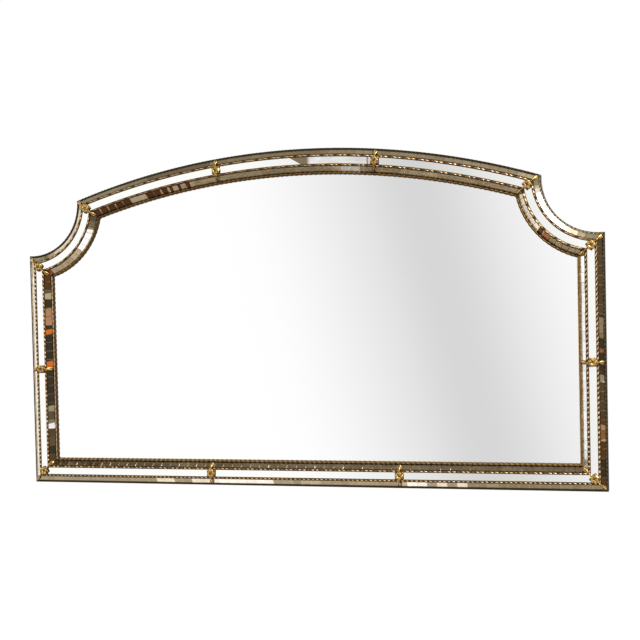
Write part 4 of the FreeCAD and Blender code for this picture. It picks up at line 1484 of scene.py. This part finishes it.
@dataclass(frozen=True)
class Studio:
    """Pale floor, soft light and the camera."""

    eye: Triple = (0.8229, -2.5346, 0.3738)
    yaw: float = 0.2745
    pitch: float = -0.0255
    roll: float = 0.0222
    focal: float = 63.64
    shift: Pair = (-0.0421, 0.0538)
    floor_place: Triple = (0.0, 0.6, -0.9)
    floor_half: float = 2.6
    floor_gray: float = 0.86
    floor_glow: float = 0.35
    lamps: tuple[Lamp, ...] = (Lamp("key_lamp", (1.9, -2.3, 2.7), 1.5, 52.0),
                               Lamp("fill_lamp", (-2.9, -1.8, 1.6), 2.0, 20.0),
                               Lamp("back_lamp", (0.0, 2.8, 2.0), 2.2, 40.0))
    lamp_aim: Triple = (0.0, 0.0, 0.4)
    wall_lean: float = 0.252
    wall_slide: float = -0.0085
    wall_stops: tuple[Pair, ...] = (
        (0.0, 1.0), (0.28, 1.0), (0.40, 0.90), (0.52, 0.76), (0.60, 0.655), (0.67, 0.69),
        (0.74, 0.80), (0.82, 0.90), (0.92, 1.0))
    wall_gain: float = 1.05
    wall_center: float = 0.28
    wall_half: Pair = (0.45, 0.35)
    ground: Triple = (0.50, 0.47, 0.42)
    dim: Triple = (0.16, 0.15, 0.13)
    ambient: Triple = (0.62, 0.62, 0.62)
    window: Triple = (0.55, -0.50, 0.67)
    window_level: float = 5.5

    def camera(self) -> None:
        """Stand the camera where the photograph was taken from."""
        data = bpy.data.cameras.new("view")
        data.sensor_width = 36.0
        data.lens = self.focal
        data.shift_x, data.shift_y = self.shift
        camera = bpy.data.objects.new("view", data)
        bpy.context.scene.collection.objects.link(camera)
        turn = (Matrix.Rotation(self.yaw, 3, "Z") @ Matrix.Rotation(self.pitch, 3, "X")
                @ Matrix.Rotation(self.roll, 3, "Y"))
        columns = Matrix((turn.col[0], turn.col[2], turn.col[1] * -1)).transposed()
        camera.matrix_world = Matrix.Translation(self.eye) @ columns.to_4x4()
        bpy.context.scene.camera = camera

    def floor(self) -> None:
        """Lay a pale floor that keeps the mirror's shadow."""
        material = bpy.data.materials.new("pale_floor")
        material.use_nodes = True
        nodes = Nodes(material.node_tree)
        camera, glossy, passing = nodes.outputs("ShaderNodeLightPath", "Is Camera Ray",
                                                "Is Glossy Ray", "Is Transmission Ray")
        seen = camera.most(glossy.most(passing))
        nodes.surface(Base_Color=(self.floor_gray,) * 3, Roughness=0.9, Emission_Color=WHITE,
                      Emission_Strength=seen * self.floor_glow)
        bm = bmesh.new()
        bmesh.ops.create_grid(bm, x_segments=1, y_segments=1, size=self.floor_half,
                              matrix=Matrix.Translation(self.floor_place))
        link_mesh(bm, "floor", material)

    def light(self) -> None:
        """Hang the large soft lamps, out of the plate's reflection."""
        for name, place, size, watts in self.lamps:
            data = bpy.data.lights.new(name, "AREA")
            data.size = size
            data.energy = watts
            lamp = bpy.data.objects.new(name, data)
            bpy.context.scene.collection.objects.link(lamp)
            lamp.location = place
            aim = Vector(self.lamp_aim) - Vector(place)
            lamp.rotation_euler = aim.to_track_quat("-Z", "Y").to_euler()

    def soft_wall(self, nodes: Nodes, across: Value, up: Value) -> Value:
        """The pale wall with one soft grey band that the plate shows.

        Args:
            nodes: The world's nodes.
            across: How far right of straight ahead, as a slope.
            up: How far above straight ahead, as a slope.

        Returns:
            Its colour.
        """
        ramp = nodes.tree.nodes.new("ShaderNodeValToRGB")
        ramp.color_ramp.interpolation = "B_SPLINE"
        elements = ramp.color_ramp.elements
        while len(elements) < len(self.wall_stops):
            elements.new(0.5)
        for element, (position, level) in zip(elements, self.wall_stops):
            element.position = position
            element.color = (level, level, level, 1.0)
        place = across + up * self.wall_lean + self.wall_slide
        nodes.feed(ramp, Fac=place.spread(1.0, 3.0))
        return nodes.mix(1.0, Value(nodes, ramp.outputs[0]), (self.wall_gain,) * 3, "MULTIPLY")

    def surroundings(self) -> None:
        """Make the white room that the mirror shows, with the soft wall in it."""
        world = bpy.data.worlds.new("studio")
        bpy.context.scene.world = world
        world.use_nodes = True
        nodes = Nodes(world.node_tree, "Background")
        direction = nodes.value("ShaderNodeTexCoord", "Generated")
        x, y, z = nodes.split(direction)
        front = (y * -1.0).most(0.02)
        across, up = x / front, z / front
        far_x = (across + self.wall_center) / self.wall_half[0]
        far_z = up / self.wall_half[1]
        away = nodes.math("SQRT", far_x * far_x + far_z * far_z)
        around = nodes.mix(z.smooth(-0.7, 0.0), self.ground, WHITE)
        outer = nodes.mix(away.smooth(2.2, 3.2), self.dim, around)
        seen = nodes.mix(away.smooth(1.15, 1.5), self.soft_wall(nodes, across, up), outer)
        seen = nodes.mix(y.smooth(-0.05, 0.10), seen, around)
        toward = nodes.math("DOT_PRODUCT", direction, Vector(self.window).normalized(),
                            kind="ShaderNodeVectorMath")
        seen = nodes.mix(toward.smooth(0.89, 0.96), seen, (self.window_level,) * 3)
        camera, glossy, passing = nodes.outputs("ShaderNodeLightPath", "Is Camera Ray",
                                                "Is Glossy Ray", "Is Transmission Ray")
        lit = nodes.mix(glossy, self.ambient, seen)
        nodes.surface(Color=nodes.mix(camera.most(passing), lit, WHITE), Strength=1.0)

    def build(self) -> None:
        """Build the whole studio."""
        bpy.context.scene.view_settings.view_transform = "Standard"
        self.camera()
        self.floor()
        self.light()
        self.surroundings()


# ---- assembly


# The number after the three colours is how strongly downward faces are painted in shade.
GOLD = BrassFinish("rope_brass", (0.92, 0.68, 0.40), (0.42, 0.25, 0.092), (0.085, 0.038, 0.010))
BRONZE = BrassFinish("dark_bronze", (0.88, 0.76, 0.58), (0.24, 0.17, 0.080),
                     (0.030, 0.020, 0.007), 0.2, (0.30, 0.50))
OLD_GOLD = BrassFinish("olive_brass", (0.80, 0.60, 0.34), (0.30, 0.19, 0.065),
                       (0.090, 0.040, 0.006), 0.5, (0.26, 0.46))
ROSE_BRASS = BrassFinish("rose_brass", (0.74, 0.49, 0.175), (0.27, 0.150, 0.030),
                         (0.045, 0.022, 0.003), 0.95, (0.16, 0.32), 0.12)


def brass_lines() -> tuple[BrassLine, ...]:
    """The four brass lines, from the outer edge inwards.

    Returns:
        Each line, with how each rail's line is worn and painted in shade.
    """
    # Each rail's values paint shade on the sides of its lines that face away from the light, and
    # darken their hollows with patina and painted shade.
    thin, deep = WearAndShade(0.45, 1.2, -0.1, 1.2), WearAndShade(0.55, 1.25, 0.2, 1.25)
    edge = dict(
        top_arch=WearAndShade(1.0, 1.5, 1.3, 0.1), bottom=WearAndShade(0.0, 1.3, 1.4, 0.5),
        left_stile=WearAndShade(0.0, 1.4, 1.6, -0.55), right_stile=WearAndShade(1.0, 1.3, 0.6, 0.3),
        left_notch=WearAndShade(0.4, 1.4, 1.2, 0.5), right_notch=WearAndShade(0.7, 0.8, 0.3, 0.2))
    outer = dict(
        top_arch=thin, bottom=WearAndShade(0.9, 1.1, 0.0, 1.1, 2.0, 0.1), left_notch=thin,
        right_notch=thin, left_stile=WearAndShade(1.2, 0.5, -0.2, 0.5, 6.0, 0.1),
        right_stile=WearAndShade(0.9, 0.1, -0.6, 0.1, 1.1, 0.2))
    inner = dict(
        top_arch=deep, bottom=WearAndShade(0.9, 0.9, 0.0, 0.9, 1.3, 0.35),
        left_notch=WearAndShade(0.55, 1.1, 0.0, 1.1), right_notch=WearAndShade(0.5, 0.8, -0.2, 0.8),
        left_stile=WearAndShade(1.2, 0.6, -0.2, 0.6, 1.8, 0.2),
        right_stile=WearAndShade(1.2, 0.25, -0.4, 0.25, 2.0, 0.15))
    bead = dict(
        top_arch=WearAndShade(0.9, 0.0, 0.7, 1.3), bottom=WearAndShade(0.7, 0.0, 0.5, 0.5),
        left_stile=WearAndShade(1.3, 0.1, -0.25, 1.0), right_stile=WearAndShade(0.2, 0.1, 1.1, -0.6),
        left_notch=WearAndShade(0.8, 0.0, 0.6, 1.1), right_notch=WearAndShade(0.5, 0.2, 0.8, 0.8))
    bead_shift, bead_slack = 2.2 * MM, 0.6 * MM
    return (
        BrassLine("outer_bead_line", "outer_bead", 0.0, SIZES.outer_bead, SIZES.outer_seat,
                  9.1 * MM, LobeStyle.SCALLOPED, BRONZE, edge, False, height=0.72),
        BrassLine("outer_twisted_rope", "outer_rope", SIZES.outer_rope_depth, SIZES.rope,
                  SIZES.flat_rise, 10.7 * MM, LobeStyle.TWISTED, GOLD, outer),
        BrassLine("inner_twisted_rope", "inner_rope", SIZES.inner_rope_depth, SIZES.rope,
                  SIZES.flat_rise, 10.7 * MM, LobeStyle.TWISTED, GOLD, inner),
        BrassLine("inner_bead_line", "inner_bead", SIZES.inner_bead_depth + bead_shift,
                  SIZES.inner_bead - bead_slack, SIZES.inner_seat, 11.8 * MM,
                  LobeStyle.SCALLOPED, OLD_GOLD, bead, breadth=0.87, height=0.75),
    )


def tile_bands() -> tuple[TileBand, ...]:
    """The twelve bands of tiles with their tints and painted reflections, each from its rail's
    own start.

    Returns:
        Each band.
    """
    s, k = Stretch, TileTintAndReflection
    # Painted highlights: on the bottom's inner band some tiles get a thin light end, where their
    # bevels would catch the light.
    highlighted_ends = (2, 5, 6, 8, 9, 12, 14, 16, 24, 29, 32, 34, 42, 43, 45, 50)
    halves = [(k.KHAKI, k.IVORY)] * 22 + [(k.KHAKI_LIGHT, k.WHITE)] * 35
    with_end_highlights = tuple(s(1, tint_and_reflection, 0.07, end_highlight) if index in highlighted_ends else s(1, tint_and_reflection)
                   for index, (tint_and_reflection, end_highlight) in enumerate(halves))
    # Each tile's colour is its glass's tint with a painted reflection of the room; the colours at
    # some tiles' ends are painted reflections and highlights.
    layout = {
        ("top_arch", True): (
            s(2, k.SAND), s(8, k.TAUPE), s(8, k.KHAKI_LIGHT), s(2, k.TAUPE),
            s(3, k.KHAKI_LIGHT), s(14, k.KHAKI), s(8, k.KHAKI_DARK), s(3, k.KHAKI),
            s(6, k.KHAKI_LIGHT)),
        ("top_arch", False): (
            s(9, k.KHAKI_LIGHT), s(1, k.SAND), s(3, k.TAUPE), s(4, k.KHAKI_LIGHT),
            s(1, k.TAUPE, 0.5, k.SILVER), s(1, k.SILVER), s(1, k.SILVER, 0.4, k.SAND),
            s(1, k.SAND, 0.4, k.KHAKI_LIGHT), s(16, k.KHAKI_LIGHT),
            *(s(1, k.BLUSH, share, k.COCOA) for share in (0.58, 0.42, 0.45, 0.78, 0.88)),
            s(1, k.COCOA), s(2, k.TAUPE), s(1, k.COCOA, 0.06, k.SAND),
            s(3, k.COCOA, 0.12, k.SAND), s(1, k.COCOA)),
        ("left_notch", True): (
            s(1, k.TAUPE), s(1, k.KHAKI_LIGHT), s(1, k.OLIVE, 0.4, k.TAUPE),
            s(1, k.SAND, 0.15, k.CREAM), s(8, k.CREAM), s(1, k.SAND)),
        ("left_notch", False): (
            s(1, k.RUST), s(4, k.TAUPE), s(2, k.SAND), s(3, k.WHITE),
            s(1, k.WHITE, 0.45, k.KHAKI_LIGHT), s(1, k.KHAKI), s(1, k.UMBER)),
        ("right_notch", True): (
            s(1, k.KHAKI_LIGHT), s(1, k.TAUPE, 0.6, k.SILVER), s(1, k.SILVER, 0.45, k.WHITE),
            s(4, k.WHITE), s(1, k.SILVER), s(1, k.SAND), s(4, k.TAUPE)),
        ("right_notch", False): (
            s(1, k.CREAM), s(4, k.IVORY), s(1, k.IVORY, 0.12, k.BROWN),
            s(1, k.BROWN, 0.3, k.TAN), s(1, k.RUST), s(1, k.KHAKI), s(4, k.KHAKI_LIGHT)),
        ("left_stile", True): (s(24, k.PEARL), s(1, k.CREAM), s(1, k.CREAM, 0.3, k.TAUPE)),
        ("left_stile", False): (
            s(1, k.DUSK), s(1, k.BLACK), s(1, k.UMBER), s(1, k.DUSK),
            s(1, k.WHITE, 0.45, k.KHAKI), s(1, k.UMBER), s(1, k.TAUPE, 0.4, k.BLACK),
            s(4, k.BLACK), s(1, k.ORANGE, 0.25, k.BLACK), s(2, k.BLACK),
            s(1, k.BLACK, 0.15, k.ORANGE), s(1, k.ORANGE, 0.58, k.BLACK),
            s(1, k.TAN, 0.16, k.RUST), s(1, k.TAN, 0.12, k.BROWN), s(1, k.BLACK),
            s(1, k.SAND, 0.4, k.UMBER), s(2, k.BROWN)),
        ("right_stile", True): (
            s(1, k.BROWN), s(2, k.BLACK), s(1, k.BROWN), s(1, k.BROWN, 0.25, k.SAND),
            s(1, k.RUST), s(1, k.TAN, 0.55, k.BROWN), s(2, k.DUSK),
            s(1, k.DUSK, 0.1, k.TAUPE), s(1, k.DUSK, 0.09, k.IVORY),
            s(1, k.TAUPE, 0.35, k.BLACK), s(2, k.BLACK), s(1, k.RUST, 0.65, k.BLACK),
            s(1, k.BLACK, 0.55, k.KHAKI), s(1, k.KHAKI_LIGHT),
            s(1, k.KHAKI_LIGHT, 0.4, k.BLACK), s(8, k.DUSK)),
        ("right_stile", False): (s(22, k.WHITE),),
        ("bottom", True): (
            s(14, k.TAUPE), s(2, k.CREAM), s(2, k.TAUPE), s(2, k.CREAM), s(7, k.IVORY),
            s(3, k.TAUPE), s(2, k.SAND), s(8, k.TAUPE), s(1, k.SAND), s(2, k.IVORY),
            s(1, k.TAUPE), s(1, k.CREAM), s(1, k.TAUPE), s(1, k.CREAM), s(3, k.KHAKI_LIGHT),
            s(10, k.KHAKI)),
        ("bottom", False): with_end_highlights,
    }
    return tuple(TileBand(RAILS[rail], outer, stretches)
                 for (rail, outer), stretches in layout.items())


def board_screw_places() -> tuple[Vector, ...]:
    """The back board's screws round the rebate.

    Returns:
        Their places.
    """
    depth = 47.7 * MM
    shares = {"top_arch": (0.06, 0.5, 0.94), "bottom": (0.06, 0.5, 0.94),
              "left_stile": (0.12, 0.88), "right_stile": (0.12, 0.88)}
    return tuple(rail.point(depth, rail.station_at(share, depth))
                 for name, rail in RAILS.items() for share in shares.get(name, (0.5,)))


def main() -> None:
    """Build the mirror's looks and its studio."""
    logging.basicConfig(level=logging.INFO, format="%(message)s")
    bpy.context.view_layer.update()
    draw = random.Random(SEED)
    steel, tile, brass = SteelFinish().make(), TileFinish().make(), ROSE_BRASS.make()
    Glazing().dress()
    Carcass().dress()
    for line in brass_lines():
        line.build()
    for band in tile_bands():
        band.build(tile, draw)
    for rose in rose_places():
        rose.build(brass, draw)
    board_back = -5 * MM
    ScrewSet("back_board_screws", board_screw_places(), board_back).build(steel, draw)
    Hangers().build(steel, draw)
    Studio().build()


if __name__ == "__main__":
    main()
